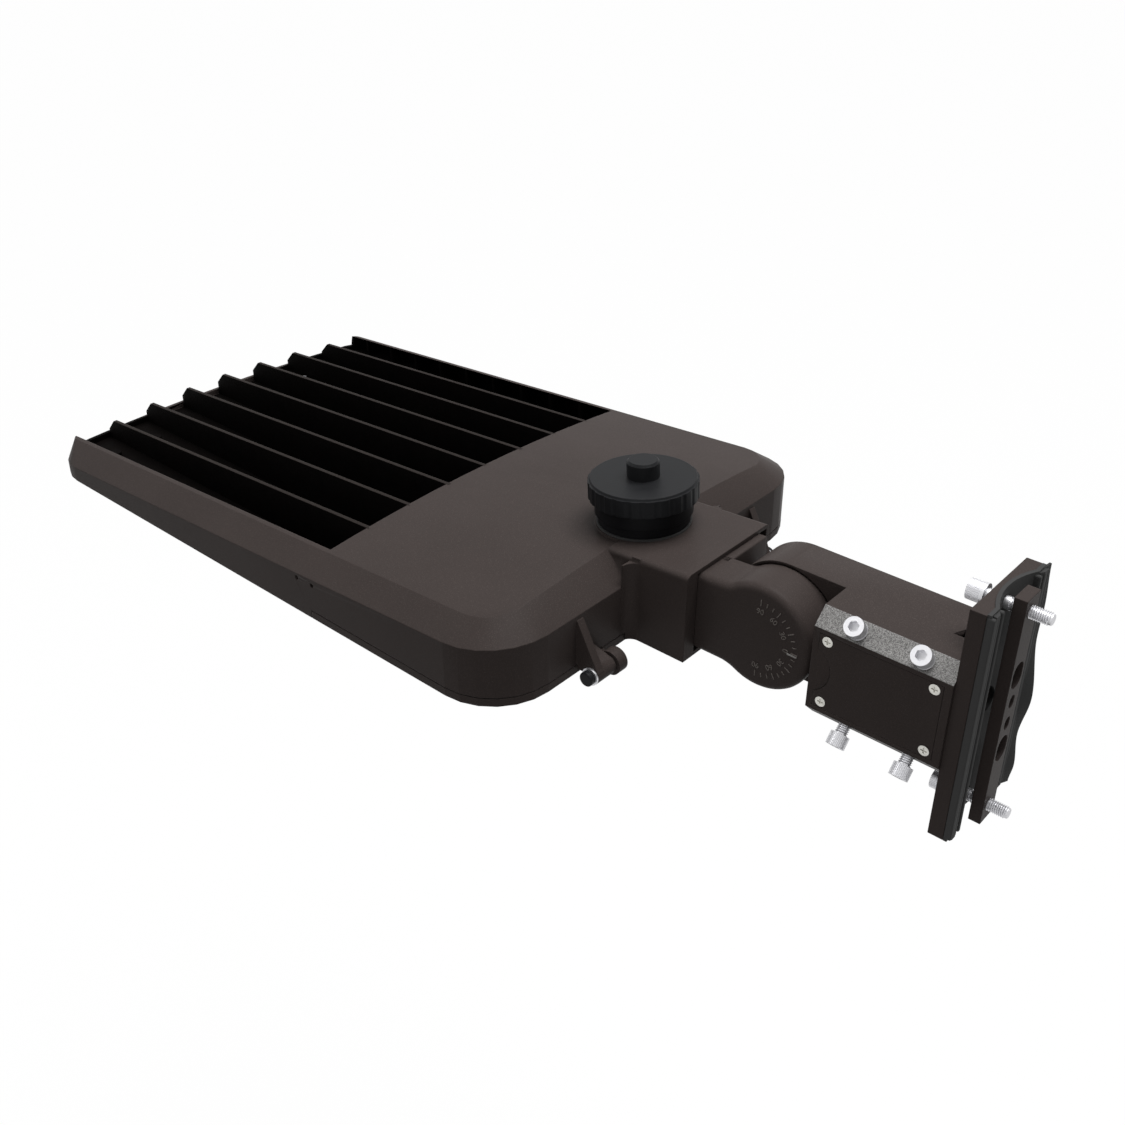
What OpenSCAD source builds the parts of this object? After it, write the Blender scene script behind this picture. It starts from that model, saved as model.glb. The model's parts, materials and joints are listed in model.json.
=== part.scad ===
// LED area light for a pole: wedge head with an open heat sink, toothed knuckle, short arm and pole plate.
// X runs from the pole to the nose, Z is up, the origin is the middle of the face that meets the pole.

/* [Pole mount] */
// Height of the pole plate
plate_h = 156; // [150:1:180]
// Width of the pole plate
plate_w = 70; // [68:1:80]
// Thickness of the pole plate at its edges
plate_t = 9.5; // [8:0.5:14]
// From each end of the plate to its bolt
bolt_edge = 10; // [8:1:16]
// Radius of the round pole that the hollow back fits
pole_r = 50.8; // [48:0.2:60]
// Thickness of the flat gasket layer
gasket_sheet_t = 2.3; // [1.5:0.1:3]
// Height of the raised gasket layer
gasket_rib_t = 2.2; // [1.5:0.1:3]
// Width of the nut bar
bar_w = 17; // [15:0.5:20]
// Thickness of the nut bar
bar_t = 7.5; // [6:0.5:10]
// Travel of the nut bar as the pole bolts are turned
bar_travel = 8; // [4:1:10]

/* [Arm] */
// Width of the arm box
arm_w = 74; // [70:1:80]
// Height of the arm box
arm_h = 78; // [76:1:84]
// Length of the arm box from the plate to its front
arm_len = 87.5; // [85:0.5:95]
// Chamfer along the four long edges of the arm box
arm_chamfer = 10; // [8:0.5:12]
// Wall of the arm box
arm_wall = 5; // [4:0.5:6]
// Distance from the front of the arm box to the knuckle axis
knuckle_gap = 39; // [38.5:0.5:44]

/* [Knuckle] */
// Radius of the lug disc
lug_r = 36.6; // [34:0.2:37]
// Height of the square part of the lug
lug_block_h = 57; // [50:1:58]
// Distance of the toothed face from the middle plane
tooth_plane = 4; // [3:0.5:6]
// Distance of the dial face from the middle plane
dial_plane = 33.5; // [32:0.5:35]
// Number of teeth around each toothed face
tooth_count = 72; // [36:12:72]
// Diameter of the knuckle bolt
knuckle_bolt_d = 12; // [10:1:12]

/* [Head] */
// Half width of the head at the crease
head_half_w = 168.5; // [160:0.5:175]
// Distance from the knuckle axis to the rear face of the head
head_back = 91; // [90:0.5:96]
// Distance from the knuckle axis to the nose
head_front = 604; // [590:1:640]
// Forward bow of the nose across the fins
nose_bow = 6; // [3:0.5:8]
// Radius of the rear corners
rear_corner_r = 45; // [40:1:50]
// Radius of the front corners
front_corner_r = 38; // [30:1:42]
// Level of the underside below the knuckle axis
under_z = 35.5; // [34:0.5:38]
// Fall of the roof towards the nose in degrees
roof_fall = 3.7; // [3:0.1:4]
// Height of the roof middle above the knuckle axis, along the roof's own normal
roof_z = 31.9; // [31:0.1:34]
// Rise of the roof middle above its side edges
roof_crown = 7.2; // [5:0.2:8]
// Height of the crease, along the roof's own normal
crease_z = 12.5; // [11:0.5:14]
// Inward step from the crease to the roof edge
facet_in = 18; // [15:0.5:20]
// Wall thickness of the casting
wall = 3.5; // [3:0.25:4]
// Distance from the knuckle axis to the front edge of the roof
roof_front = 264; // [255:1:280]

/* [Heat sink] */
// Number of fins
fin_count = 7; // [7:1:7]
// Distance from one fin to the next
fin_pitch = 37.8; // [36:0.2:38]
// Thickness of a fin
fin_t = 3; // [2.5:0.1:4]
// Level of the heat sink floor below the knuckle axis
floor_top_z = 27; // [26.5:0.5:28]
// Thickness of the heat sink floor
floor_t = 3; // [2.5:0.5:3.5]
// Height of the nose lip above the floor
lip_h = 4.5; // [3:0.5:6]

/* [Neck] */
// Half width of the neck
neck_half_w = 45; // [43:0.5:46]
// Distance from the knuckle axis to the mouth of the neck
neck_mouth = 46.5; // [46:0.5:50]
// Wall thickness of the neck
neck_wall = 3; // [2.5:0.25:3.5]

/* [Photocell cap] */
// Distance from the knuckle axis to the cap axis along the roof
cap_x = 114; // [112:0.5:118]
// Diameter of the shorting cap
cap_d = 74; // [70:1:84]
// Diameter of the receptacle
receptacle_d = 66; // [62:1:68]
// Travel of the cap when it is lifted out
cap_lift = 25; // [20:1:30]

/* [Optics] */
// Number of lens modules along the head
module_rows = 2; // [1:1:2]
// Number of lens modules across the head
module_cols = 2; // [1:1:2]
// Lenses along one module
lens_rows = 4; // [2:1:5]
// Lenses across one module
lens_cols = 3; // [2:1:4]

/* [Hidden] */
// Between the two pole bolts
bolt_gap = plate_h - 2 * bolt_edge;

// Smoothness of round shapes
fn_big = 96;
fn_mid = 48;
fn_small = 24;
// Overrun that carries every cut through the surface it leaves
over = 1;
// Clearance between pieces that only rest near one another
gap = 0.3;
// Steps of the rounded corners, of the bowed nose and of the crowned roof
outline_steps = 6;
nose_steps = 8;
outline_min_r = 6;
// Radius of the roof edge outline at the nose
edge_nose_r = 9;
crown_steps = 10;
// Thickness of the slabs that span a hull
slab = 0.2;

// Standard fasteners: diameter over the thread, head diameter, head height, socket width
m8_d = 8;
m8_head_d = 13;
m8_head_h = 8;
m8_socket = 6;
m6_d = 6;
m6_head_d = 10;
m6_head_h = 6;
m4_d = 4;
m4_head_d = 7;
m4_head_h = 2.6;
// Depth of a driver socket as a share of the head height
socket_share = 0.6;
// Radial room of a screw in its clearance hole
hole_room = 0.5;
// Radial room of a thread in its tapped hole
thread_room = 0.05;

// Levels along the pole axis of X
gasket_t = gasket_sheet_t + gasket_rib_t;
plate_back = gasket_t;
plate_front = plate_back + plate_t;
arm_front = plate_front + arm_len;
knuckle_x = arm_front + knuckle_gap;

// Hollow back of the plate
saddle_half = plate_w * 0.36;
saddle_r = pole_r + gasket_sheet_t;
saddle_depth = saddle_r - sqrt(saddle_r * saddle_r - saddle_half * saddle_half);
// Raised pad in the middle of the plate front
pad_rise = plate_t * 0.58;
pad_half = plate_w * 0.15;
pad_front = plate_front + pad_rise;
plate_corner = 2;
// Wire hole through plate and gasket
wire_r = plate_w * 0.14;
bolt_washer_t = 2;
pole_bolt_len = 40;

// Tenon of the plate inside the arm box
tenon_room = 0.4;
tenon_h = arm_h - 2 * arm_wall - 2 * tenon_room;
tenon_w = arm_w - 2 * arm_wall - 2 * tenon_room;
tenon_len = arm_len * 0.8;
tenon_wall = arm_wall;
inner_chamfer = arm_chamfer - arm_wall * tan(22.5);

// Places of the clamp screws along the arm, as shares of its length
clamp_shares = [0.235, 0.713];
// Height of the bottom screw heads above the chamfer
top_stand = 1.5;
bottom_stand = 11;
clamp_len = 20;

// Cover plate on the near face of the arm
cover_t = 2.5;
cover_h = arm_h - 2 * arm_chamfer - 6;
cover_x0 = plate_front + arm_len * 0.055;
cover_x1 = arm_front - arm_len * 0.045;
cover_screw_in = 5.5;
cover_screw_drop = 4.5;
cover_bite_r = arm_h * 0.215;
cover_bite_z = 0;
cover_screw_d = 4;
cover_head_d = 6.8;
cover_seat_t = 0.8;

// Ear of the arm
ear_r = arm_h / 2;
tooth_h = 1.1;
tooth_in = 0.76;
ring_room = 0.8;
recess_depth = 2 * tooth_h;
ear_face = tooth_plane - gap;
ear_back = -arm_w / 2;
washer_d = knuckle_bolt_d * 2;
washer_t = 2.5;
knuckle_head_d = knuckle_bolt_d * 1.58;
knuckle_head_h = knuckle_bolt_d * 0.62;
bolt_pocket = washer_t + knuckle_head_h + 1;

// Lug on the head side
bevel_w = 7;
bevel_h = 4.5;
edge_steps = 8;
lug_block_top = lug_block_h / 2 - 0.5;
lug_block_bottom = -lug_block_h / 2 - 1.5;
lug_fillet_r = 12;
lug_end = head_back - 7.3;
lug_bore_depth = 24;
lug_screw_y = [11, 26];
lug_screw_z = [-12, 9];
dial_rise = 0.6;
dial_r = lug_r - bevel_w - 1;
dial_marks = 19;
dial_mark_len = dial_r * 0.16;
dial_mark_w = 0.7;

// Head casting
fall = roof_fall;
bottom = -under_z;
parting = bottom + 6;
door_t = parting - bottom;
door_gap = 0.6;
top_half = head_half_w - facet_in;
crown_r = (top_half * top_half + roof_crown * roof_crown) / (2 * roof_crown);
roof_side_z = roof_z - roof_crown;
floor_top = -floor_top_z;
floor_under = floor_top - floor_t;
lip_top = floor_top + lip_h;
partition_t = wall;
fin_front = head_front - 5;
nose_top_in = 4;
fin_chamfer = 9;
wall_top_t = 3.5;
side_rib_t = 2.4;
side_rib_count = 9;
strip_w = 6;
strip_h = 1.6;
boss_r = 5;
boss_h = 4;
neck_top_z = roof_z + 0.8;
neck_bottom = bottom + 1;
neck_inner_bottom = neck_bottom + neck_wall + 0.2;
neck_fillet_r = 8;
neck_round = 3.5;
bulkhead_t = 7;
wire_bore_r = 9;
shield_hole_d = 3.4;
shield_hole_x = [260.7, 276.4];
shield_hole_z = -8.5;
shield_hole_depth = 9;
shield_boss = [32, 14, 9];

// Hinges of the door
hinge_x = head_back - 12;
hinge_z = parting - 2.6;
hinge_barrel_r = 6.2;
hinge_lug_r = 8.4;
hinge_pin_d = 6;
hinge_boss_y0 = 79.5;
hinge_boss_y1 = 97;
hinge_neck_d = 8;
hinge_neck_l = 3.5;
hinge_lug_y0 = 71;
hinge_lug_y1 = 79;
hinge_washer_t = 1.6;
hinge_head_t = 6.5;
hinge_head_d = 10.5;
pin_room = 0.06;
gusset_t = 6;

// Driver compartment: level where its plan is drawn in below the sloping edge
room_step_z = tip_z(roof_front, crease_z) - wall;
cavity_front = roof_front - partition_t;
cavity_side = head_half_w - wall;
door_screw_x = roof_front - 16;
door_screw_y = head_half_w - 34;
door_screw_d = 5;
door_screw_room = 1.2;
door_boss_r = 7;
door_boss_top = parting + 16;
seal_w = 3;
seal_t = 2.5;
seal_in = 0.6;

// Lamp parts inside
driver_size = [110, 68, 28];
driver_pos = [118, 30, -22];
driver_bosses_x = [10, 100];
driver_screw_len = 7.5;
surge_d = 30;
surge_h = 24;
surge_pos = [190, -60, -22];
terminal_size = [22, 60, 16];
terminal_pos = [122, -125, -10];
inner_floor_boss = 4;

// Optics under the heat sink
optic_x0 = roof_front + 12;
optic_x1 = head_front - 22;
optic_half = top_half - 2;
board_t = 1.6;
led_size = 5;
led_t = 0.7;
lens_base_t = 2;
lens_base_top = floor_under - board_t - led_t - gap;
lens_dome_h = 3.2;
lens_dome_r = 8.5;
lens_dome_top_r = 5;
lens_edge = 9;
module_gap = 3;
lens_seal_w = 4;
module_lx = (optic_x1 - optic_x0 - 2 * lens_edge - (module_rows - 1) * module_gap) / module_rows;
module_ly = (2 * optic_half - 2 * lens_edge - (module_cols - 1) * module_gap) / module_cols;

// Photocell cap and its receptacle, measured along the roof's normal
pad_r = 32;
gasket_ring_t = 1.2;
receptacle_base_z = neck_top_z + 0.1;
receptacle_foot_h = 7;
receptacle_top_z = 50;
receptacle_wall = 4;
receptacle_hole_r = 18;
nut_r = 22;
nut_h = 4;
cap_seal_t = 1.6;
cap_rim_z0 = receptacle_top_z + cap_seal_t + gap / 2;
cap_top_z = 65;
cap_flats = 24;
cap_wall = 3;
knob_d = 22;
knob_h = 12;
blade_count = 3;
blade_ring_r = 12;
blade_w = 7;
blade_t = 1.5;
blade_len = 16;
slot_room = 1.2;

// Points of an arc around a centre
function arc_pts(cx, cy, r, a0, a1, n) =
    [for (i = [0:n]) let (a = a0 + (a1 - a0) * i / n) [cx + r * cos(a), cy + r * sin(a)]];

// Nose line: how far forward the head reaches at a given distance from the middle
function nose_x(y) = head_front - nose_bow * pow(y / (3 * fin_pitch), 2);

// Plan outline of the head, drawn in by a margin that may be smaller at the nose
function head_outline(inset, nose_in = -1, nose_r = -1) =
    let (hw = head_half_w - inset, rr = rear_corner_r - inset, ni = nose_in < 0 ? inset : nose_in,
         fr = nose_r < 0 ? max(front_corner_r - inset, outline_min_r) : nose_r,
         back = head_back + inset, fx = nose_x(hw - fr) - ni - fr)
    concat(
        arc_pts(back + rr, -hw + rr, rr, 180, 270, outline_steps),
        arc_pts(fx, -hw + fr, fr, 270, 360, outline_steps),
        [for (i = [1:nose_steps - 1]) let (y = (hw - fr) * (2 * i / nose_steps - 1)) [nose_x(y) - ni, y]],
        arc_pts(fx, hw - fr, fr, 0, 90, outline_steps),
        arc_pts(back + rr, hw - rr, rr, 90, 180, outline_steps));

// Crown of the roof at a distance from the middle
function crown_z(y) = roof_z - (crown_r - sqrt(crown_r * crown_r - y * y));

// Strip of the crown as a cross-section, down by a margin
function crown_section(half, down) = concat(
    [for (i = [0:crown_steps]) let (y = half * (2 * i / crown_steps - 1)) [y, crown_z(y) - down]],
    [[half, roof_side_z - down - slab], [-half, roof_side_z - down - slab]]);

// Places its children on the knuckle axis
module at_knuckle() {
    translate([knuckle_x, 0, 0]) children();
}

// Tips its children to the fall of the roof
module tipped() {
    rotate([0, fall, 0]) children();
}

// Bar along X with a cross-section in Y and Z
module along_x(x0, x1) {
    translate([x0, 0, 0]) rotate([90, 0, 90]) linear_extrude(x1 - x0) children();
}

// Bar along Y with a cross-section in X and Z
module along_y(y0, y1) {
    translate([0, y1, 0]) rotate([90, 0, 0]) linear_extrude(y1 - y0) children();
}

// Cylinder along Y
module rod_y(y0, y1, r, fn = fn_mid) {
    translate([0, y1, 0]) rotate([90, 0, 0]) cylinder(h = y1 - y0, r = r, $fn = fn);
}

// Cylinder along X
module rod_x(x0, x1, r, fn = fn_mid) {
    translate([x0, 0, 0]) rotate([0, 90, 0]) cylinder(h = x1 - x0, r = r, $fn = fn);
}

// Socket head screw: its seat is at zero, the head stands up, the shank goes down
module socket_screw(d, head_d, head_h, len) {
    difference() {
        union() {
            cylinder(h = head_h, d = head_d, $fn = fn_mid);
            translate([0, 0, -len]) cylinder(h = len + over, d = d, $fn = fn_small);
        }
        translate([0, 0, head_h * (1 - socket_share)])
            cylinder(h = head_h, d = head_d * 0.53, $fn = 6);
    }
}

// Countersunk screw with a cross recess: its face is at zero
module flat_screw(d, head_d, len) {
    sink = (head_d - d) / 2;
    difference() {
        union() {
            translate([0, 0, -sink]) cylinder(h = sink, d1 = d, d2 = head_d, $fn = fn_mid);
            translate([0, 0, -len]) cylinder(h = len, d = d, $fn = fn_small);
        }
        for (a = [0, 90]) rotate([0, 0, a])
            translate([-head_d * 0.28, -head_d * 0.07, -sink * 0.7])
                cube([head_d * 0.56, head_d * 0.14, sink + over]);
    }
}

// Ring of radial teeth standing up from zero
module tooth_ring(r0, r1) {
    step = 360 / tooth_count;
    half = r1 * sin(step * 0.42);
    for (i = [0:tooth_count - 1]) rotate([0, 0, i * step])
        translate([r0, 0, 0]) rotate([90, 0, 90])
            linear_extrude(r1 - r0) polygon([[-half, -tooth_h], [half, -tooth_h], [half, 0], [0, tooth_h],
                [-half, 0]]);
}

// Outline of the arm box across the arm
module box_section(w, h, c) {
    polygon([
        [-w / 2 + c, -h / 2], [w / 2 - c, -h / 2], [w / 2, -h / 2 + c], [w / 2, h / 2 - c],
        [w / 2 - c, h / 2], [-w / 2 + c, h / 2], [-w / 2, h / 2 - c], [-w / 2, -h / 2 + c]]);
}

// Cut of the round pole with its cover of gasket
module saddle_cut(r) {
    translate([plate_back + saddle_depth - saddle_r, 0, -plate_h])
        cylinder(h = 2 * plate_h, r = r, $fn = fn_big);
}

// Pole plate with raised pad, hollow back and tenon
module pole_plate() {
    color("#3b3431") difference() {
        union() {
            translate([plate_back, -plate_w / 2, -plate_h / 2]) cube([plate_t, plate_w, plate_h]);
            translate([plate_front - over, 0, 0]) rotate([0, 0, -90]) rotate([90, 0, 0])
                mirror([0, 0, 1]) translate([0, 0, -pad_rise - over]) mirror([0, 0, 1])
                    translate([-pad_half, -plate_h / 2, -pad_rise - over])
                        cube([2 * pad_half, plate_h, pad_rise + over]);
            along_x(plate_front - over, plate_front + tenon_len)
                difference() {
                    box_section(tenon_w, tenon_h, inner_chamfer);
                    box_section(tenon_w - 2 * tenon_wall, tenon_h - 2 * tenon_wall,
                        inner_chamfer - tenon_wall / 2);
                }
        }
        saddle_cut(saddle_r);
        rod_x(-over, pad_front + over, wire_r);
        for (s = [-1, 1]) translate([0, 0, s * bolt_gap / 2])
            rod_x(-over, pad_front + over, m8_d / 2 + hole_room);
        clamp_screw_places(true) cylinder(h = clamp_len * 2, d = m8_d + 2 * hole_room, center = true,
            $fn = fn_small);
    }
}

// Gasket behind the plate: flat layer, raised layer and a lining for the hollow
module pole_gasket() {
    edge = 0.6;
    color("#141414") difference() {
        union() {
            translate([gasket_rib_t, -plate_w / 2 + edge, -plate_h / 2 - edge])
                cube([gasket_sheet_t, plate_w - 2 * edge, plate_h + 2 * edge]);
            for (s = [-1, 1]) translate([0, s * (saddle_half + plate_w * 0.05) - plate_w * 0.05,
                -plate_h / 2 + edge])
                cube([gasket_rib_t + over, plate_w * 0.1, plate_h - 2 * edge]);
            intersection() {
                saddle_cut(saddle_r - slab / 4);
                translate([gasket_rib_t, -saddle_half, -plate_h / 2 - edge])
                    cube([saddle_depth * 2, 2 * saddle_half, plate_h + 2 * edge]);
            }
        }
        saddle_cut(pole_r);
        rod_x(-over, pad_front, wire_r);
        for (s = [-1, 1]) translate([0, 0, s * bolt_gap / 2]) rod_x(-over, pad_front, m8_d / 2 + hole_room);
    }
}

// Places of the large and small openings of the nut bar, as shares of the plate height
bar_big_shares = [-0.165, 0.165];
bar_small_shares = [-0.049, 0.049];
bar_big_r = 6.5;
bar_small_r = 3.3;
bar_slot = 4;
bar_front = 1.5;

// Nut bar with two tapped holes, two large and two small slots
module nut_bar() {
    color("#57524e") difference() {
        translate([bar_front - bar_t, -bar_w / 2, -plate_h / 2]) cube([bar_t, bar_w, plate_h]);
        for (s = [-1, 1]) translate([0, 0, s * bolt_gap / 2])
            rod_x(bar_front - bar_t - over, bar_front + over, m8_d / 2 + thread_room * 2);
        for (s = bar_big_shares, e = [-1, 1]) translate([0, 0, s * plate_h + e * bar_slot / 2])
            rod_x(bar_front - bar_t - over, bar_front + over, bar_big_r);
        for (s = bar_small_shares, e = [-1, 1]) translate([0, 0, s * plate_h + e * bar_slot / 4])
            rod_x(bar_front - bar_t - over, bar_front + over, bar_small_r);
    }
}

// Two pole bolts
module pole_bolts() {
    color("#c9c9cc") for (s = [-1, 1])
        translate([pad_front + bolt_washer_t, 0, s * bolt_gap / 2]) rotate([0, 90, 0])
            socket_screw(m8_d, m8_head_d, m8_head_h, pole_bolt_len);
}

// Spring washers under the pole bolt heads
module pole_bolt_washers() {
    color("#b5b5b8") for (s = [-1, 1]) translate([0, 0, s * bolt_gap / 2]) difference() {
        rod_x(pad_front, pad_front + bolt_washer_t, m8_head_d / 2);
        rod_x(pad_front - over, pad_front + bolt_washer_t + over, m8_d / 2 + gap);
    }
}

// Places of the clamp screws: the seat on each chamfer looks outward
module clamp_screw_places(at_chamfer = false) {
    mid_y = arm_w / 2 - arm_chamfer / 2;
    mid_z = arm_h / 2 - arm_chamfer / 2;
    for (x = clamp_shares, side = [1, -1]) {
        stand = at_chamfer ? 0 : (side > 0 ? top_stand : bottom_stand);
        translate([plate_front + x * arm_len, mid_y, side * mid_z])
            rotate([side > 0 ? -45 : -135, 0, 0]) translate([0, 0, stand]) children();
    }
}

// Arm: chamfered box open at the pole side, with a rounded ear at the far side
module arm_casting() {
    inner_w = arm_w - 2 * arm_wall;
    inner_h = arm_h - 2 * arm_wall;
    notch = 3.4;
    color("#3d3633") difference() {
        union() {
            along_x(plate_front, arm_front) box_section(arm_w, arm_h, arm_chamfer);
            intersection() {
                along_x(arm_front - over, knuckle_x + ear_r) box_section(arm_w, arm_h, arm_chamfer);
                union() {
                    translate([arm_front - over, ear_back, -ear_r])
                        cube([knuckle_gap + over, ear_face - ear_back, 2 * ear_r]);
                    at_knuckle() {
                        rod_y(ear_back + arm_chamfer, ear_face, ear_r, fn_big);
                        translate([0, ear_back + arm_chamfer, 0]) rotate([90, 0, 0])
                            cylinder(h = arm_chamfer, r1 = ear_r, r2 = ear_r - arm_chamfer, $fn = fn_big);
                    }
                }
            }
        }
        // Room for the tenon and the wires
        along_x(plate_front - over, arm_front - arm_wall) box_section(inner_w, inner_h, inner_chamfer);
        // Relief for the raised pad of the plate
        along_x(plate_front - over, pad_front + gap)
            square([2 * pad_half + 2 * gap, arm_h + over], center = true);
        // Opening behind the cover, and the step the cover sits in
        along_y(arm_w / 2 - cover_t - cover_seat_t, arm_w / 2 + over) cover_shape(0);
        translate([cover_x0 + 2 * cover_screw_in, arm_w / 2 - arm_wall - over,
            -cover_h / 2 + 2 * cover_screw_in])
            cube([cover_x1 - cover_x0 - 4 * cover_screw_in, arm_wall + 2 * over,
                cover_h - 4 * cover_screw_in]);
        cover_screw_places() translate([0, 0, -clamp_len / 2])
            cylinder(h = clamp_len, d = cover_screw_d + 2 * thread_room, $fn = fn_small);
        // Tapped holes of the clamp screws
        clamp_screw_places(true) cylinder(h = clamp_len * 2, d = m8_d + 2 * thread_room, center = true,
            $fn = fn_small);
        // Small three-sided drain opening in the top
        translate([plate_front + arm_len * 0.165, 0, arm_h / 2 - arm_wall - over])
            linear_extrude(arm_wall + 2 * over)
                polygon([[-notch, notch * 1.45], [notch, notch * 1.45], [0, -notch]]);
        // Passage for wires from the box to the ear slot
        translate([0, arm_w * 0.27, 0]) rod_x(arm_front - arm_wall - over, arm_front + over, wire_bore_r);
        // Toothed recess, bolt hole and pocket for the bolt head
        at_knuckle() {
            rod_y(ear_face - recess_depth, ear_face + over, lug_r + ring_room, fn_big);
            rod_y(ear_back - over, ear_face + over, knuckle_bolt_d / 2 + pin_room);
            rod_y(ear_back - over, ear_back + bolt_pocket, washer_d / 2 + gap);
        }
    }
    color("#2e2a28") at_knuckle() translate([0, ear_face - recess_depth, 0]) rotate([-90, 0, 0])
        tooth_ring(lug_r * tooth_in, lug_r - gap);
}

// Four clamp screws on the chamfers
module arm_clamp_screws() {
    color("#c9c9cc") clamp_screw_places() socket_screw(m8_d, m8_head_d, m8_head_h, clamp_len);
}

// Places of the cover screws: their faces look to the near side
module cover_screw_places() {
    for (x = [cover_x0 + cover_screw_in, cover_x1 - cover_screw_in], z = [-1, 1])
        translate([x, arm_w / 2, z * (cover_h / 2 - cover_screw_drop)]) rotate([-90, 0, 0]) children();
}

// Outline of the cover plate with the round bite at its front edge, drawn in by a margin
module cover_shape(m) {
    difference() {
        translate([cover_x0 + m, -cover_h / 2 + m]) square([cover_x1 - cover_x0 - 2 * m, cover_h - 2 * m]);
        translate([cover_x1 + cover_bite_r * 0.44, cover_bite_z])
            circle(r = cover_bite_r + m, $fn = fn_big);
    }
}

// Cover plate over the wire room of the arm, with a round bite at its front edge
module arm_cover() {
    color("#38312e") difference() {
        along_y(arm_w / 2 - cover_t, arm_w / 2) cover_shape(gap);
        cover_screw_places() translate([0, 0, -cover_t - over])
            cylinder(h = cover_t + 2 * over, d = cover_screw_d + 2 * hole_room, $fn = fn_small);
        cover_screw_places() translate([0, 0, -(cover_head_d - cover_screw_d) / 2])
            cylinder(h = (cover_head_d - cover_screw_d) / 2 + slab, d1 = cover_screw_d + 2 * hole_room,
                d2 = cover_head_d + 2 * hole_room, $fn = fn_mid);
    }
}

// Thin gasket between the cover and its seat
module arm_cover_gasket() {
    y0 = arm_w / 2 - cover_t - cover_seat_t;
    color("#1a1a1a") difference() {
        along_y(y0, y0 + cover_seat_t) cover_shape(gap);
        translate([cover_x0 + 2 * cover_screw_in, y0 - over, -cover_h / 2 + 2 * cover_screw_in])
            cube([cover_x1 - cover_x0 - 4 * cover_screw_in, 2 * over + cover_seat_t,
                cover_h - 4 * cover_screw_in]);
        cover_screw_places() translate([0, 0, -clamp_len / 2])
            cylinder(h = clamp_len, d = cover_screw_d + 2 * hole_room, $fn = fn_small);
    }
}

// Four countersunk cover screws
module arm_cover_screws() {
    color("#d8d4c8") cover_screw_places() flat_screw(cover_screw_d, cover_head_d, arm_wall);
}

// Knuckle bolt from the far side, tapped into the lug
module knuckle_bolt() {
    color("#b5b5b8") at_knuckle() {
        difference() {
            rod_y(ear_back + bolt_pocket - washer_t - knuckle_head_h, ear_back + bolt_pocket - washer_t,
                knuckle_head_d / 2, 6);
            rod_y(ear_back - over, ear_back + bolt_pocket - washer_t - knuckle_head_h + slab,
                knuckle_head_d / 4);
        }
        rod_y(ear_back + bolt_pocket - washer_t - over, tooth_plane + lug_bore_depth - over,
            knuckle_bolt_d / 2);
    }
}

// Washer under the knuckle bolt head
module knuckle_washer() {
    color("#c9c9cc") at_knuckle() difference() {
        rod_y(ear_back + bolt_pocket - washer_t, ear_back + bolt_pocket, washer_d / 2);
        rod_y(ear_back, ear_back + bolt_pocket + over, knuckle_bolt_d / 2 + gap);
    }
}

// Rounded near edge of the lug: how far it is drawn in and how far up, from 0 to 90 degrees
function edge_in(a) = bevel_w * (1 - cos(a));
function edge_up(a) = dial_plane - bevel_h + bevel_h * sin(a);
edge_angles = [for (i = [0:edge_steps]) 90 * i / edge_steps];

// Hollow corner between the disc and the shank, above the axis
module lug_corner(h) {
    f = lug_fillet_r;
    fx = sqrt(pow(lug_r + f, 2) - pow(h + f, 2));
    tx = fx * lug_r / (lug_r + f);
    tz = (h + f) * lug_r / (lug_r + f);
    difference() {
        along_y(tooth_plane, dial_plane)
            polygon([[0, 0], [tx, tz], [fx, h + f], [fx + over, h], [fx + over, 0]]);
        translate([fx, 0, h + f]) rotate([-90, 0, 0]) rotate_extrude($fn = fn_big) polygon(concat(
            [[0, tooth_plane - over], [f, tooth_plane - over]],
                [for (a = edge_angles) [f + edge_in(a), edge_up(a)]],
            [[f + bevel_w, dial_plane + over], [0, dial_plane + over]]));
    }
}

// Disc and shank of the lug with their rounded near edge
module lug_solid() {
    top = lug_block_top;
    low = -lug_block_bottom;
    rotate([-90, 0, 0]) rotate_extrude($fn = fn_big) polygon(concat(
        [[0, tooth_plane], [lug_r, tooth_plane]], [for (a = edge_angles) [lug_r - edge_in(a), edge_up(a)]],
            [[0, dial_plane]]));
    along_x(0, lug_end) polygon(concat(
        [[tooth_plane, -low], [tooth_plane, top]], [for (a = edge_angles) [edge_up(a), top - edge_in(a)]],
        [for (a = edge_angles) [edge_up(90 - a), edge_in(90 - a) - low]]));
    lug_corner(top);
    mirror([0, 0, 1]) lug_corner(low);
}

// Lug: toothed disc and square shank that goes into the neck
module knuckle_lug() {
    color("#3f3835") at_knuckle() difference() {
        union() {
            lug_solid();
            // Dial marks, raised
            for (i = [0:dial_marks - 1]) rotate([0, 180 + 90 - i * 180 / (dial_marks - 1), 0])
                translate([dial_r - dial_mark_len * (i % 3 == 0 ? 1.6 : 1), dial_plane - over,
                    -dial_mark_w / 2])
                    cube([dial_mark_len * (i % 3 == 0 ? 1.6 : 1), over + dial_rise, dial_mark_w]);
        }
        tipped() translate([0, -head_half_w, neck_top_z - neck_wall - gap])
            cube([head_front, 2 * head_half_w, head_half_w]);
        rod_y(tooth_plane - over, tooth_plane + lug_bore_depth, knuckle_bolt_d / 2 + thread_room);
        rod_y(tooth_plane - over, tooth_plane + slab, lug_r * tooth_in - over);
        lug_screw_places() rod_x(-bulkhead_t - clamp_len, over, m6_d / 2 + thread_room, fn_small);
        translate([0, (tooth_plane + dial_plane) / 2, 0])
            rod_x(neck_mouth, lug_end + over, wire_bore_r / 2);
    }
    color("#2e2a28") at_knuckle() translate([0, tooth_plane, 0]) rotate([90, 0, 0])
        tooth_ring(lug_r * tooth_in, lug_r - gap);
}

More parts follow.
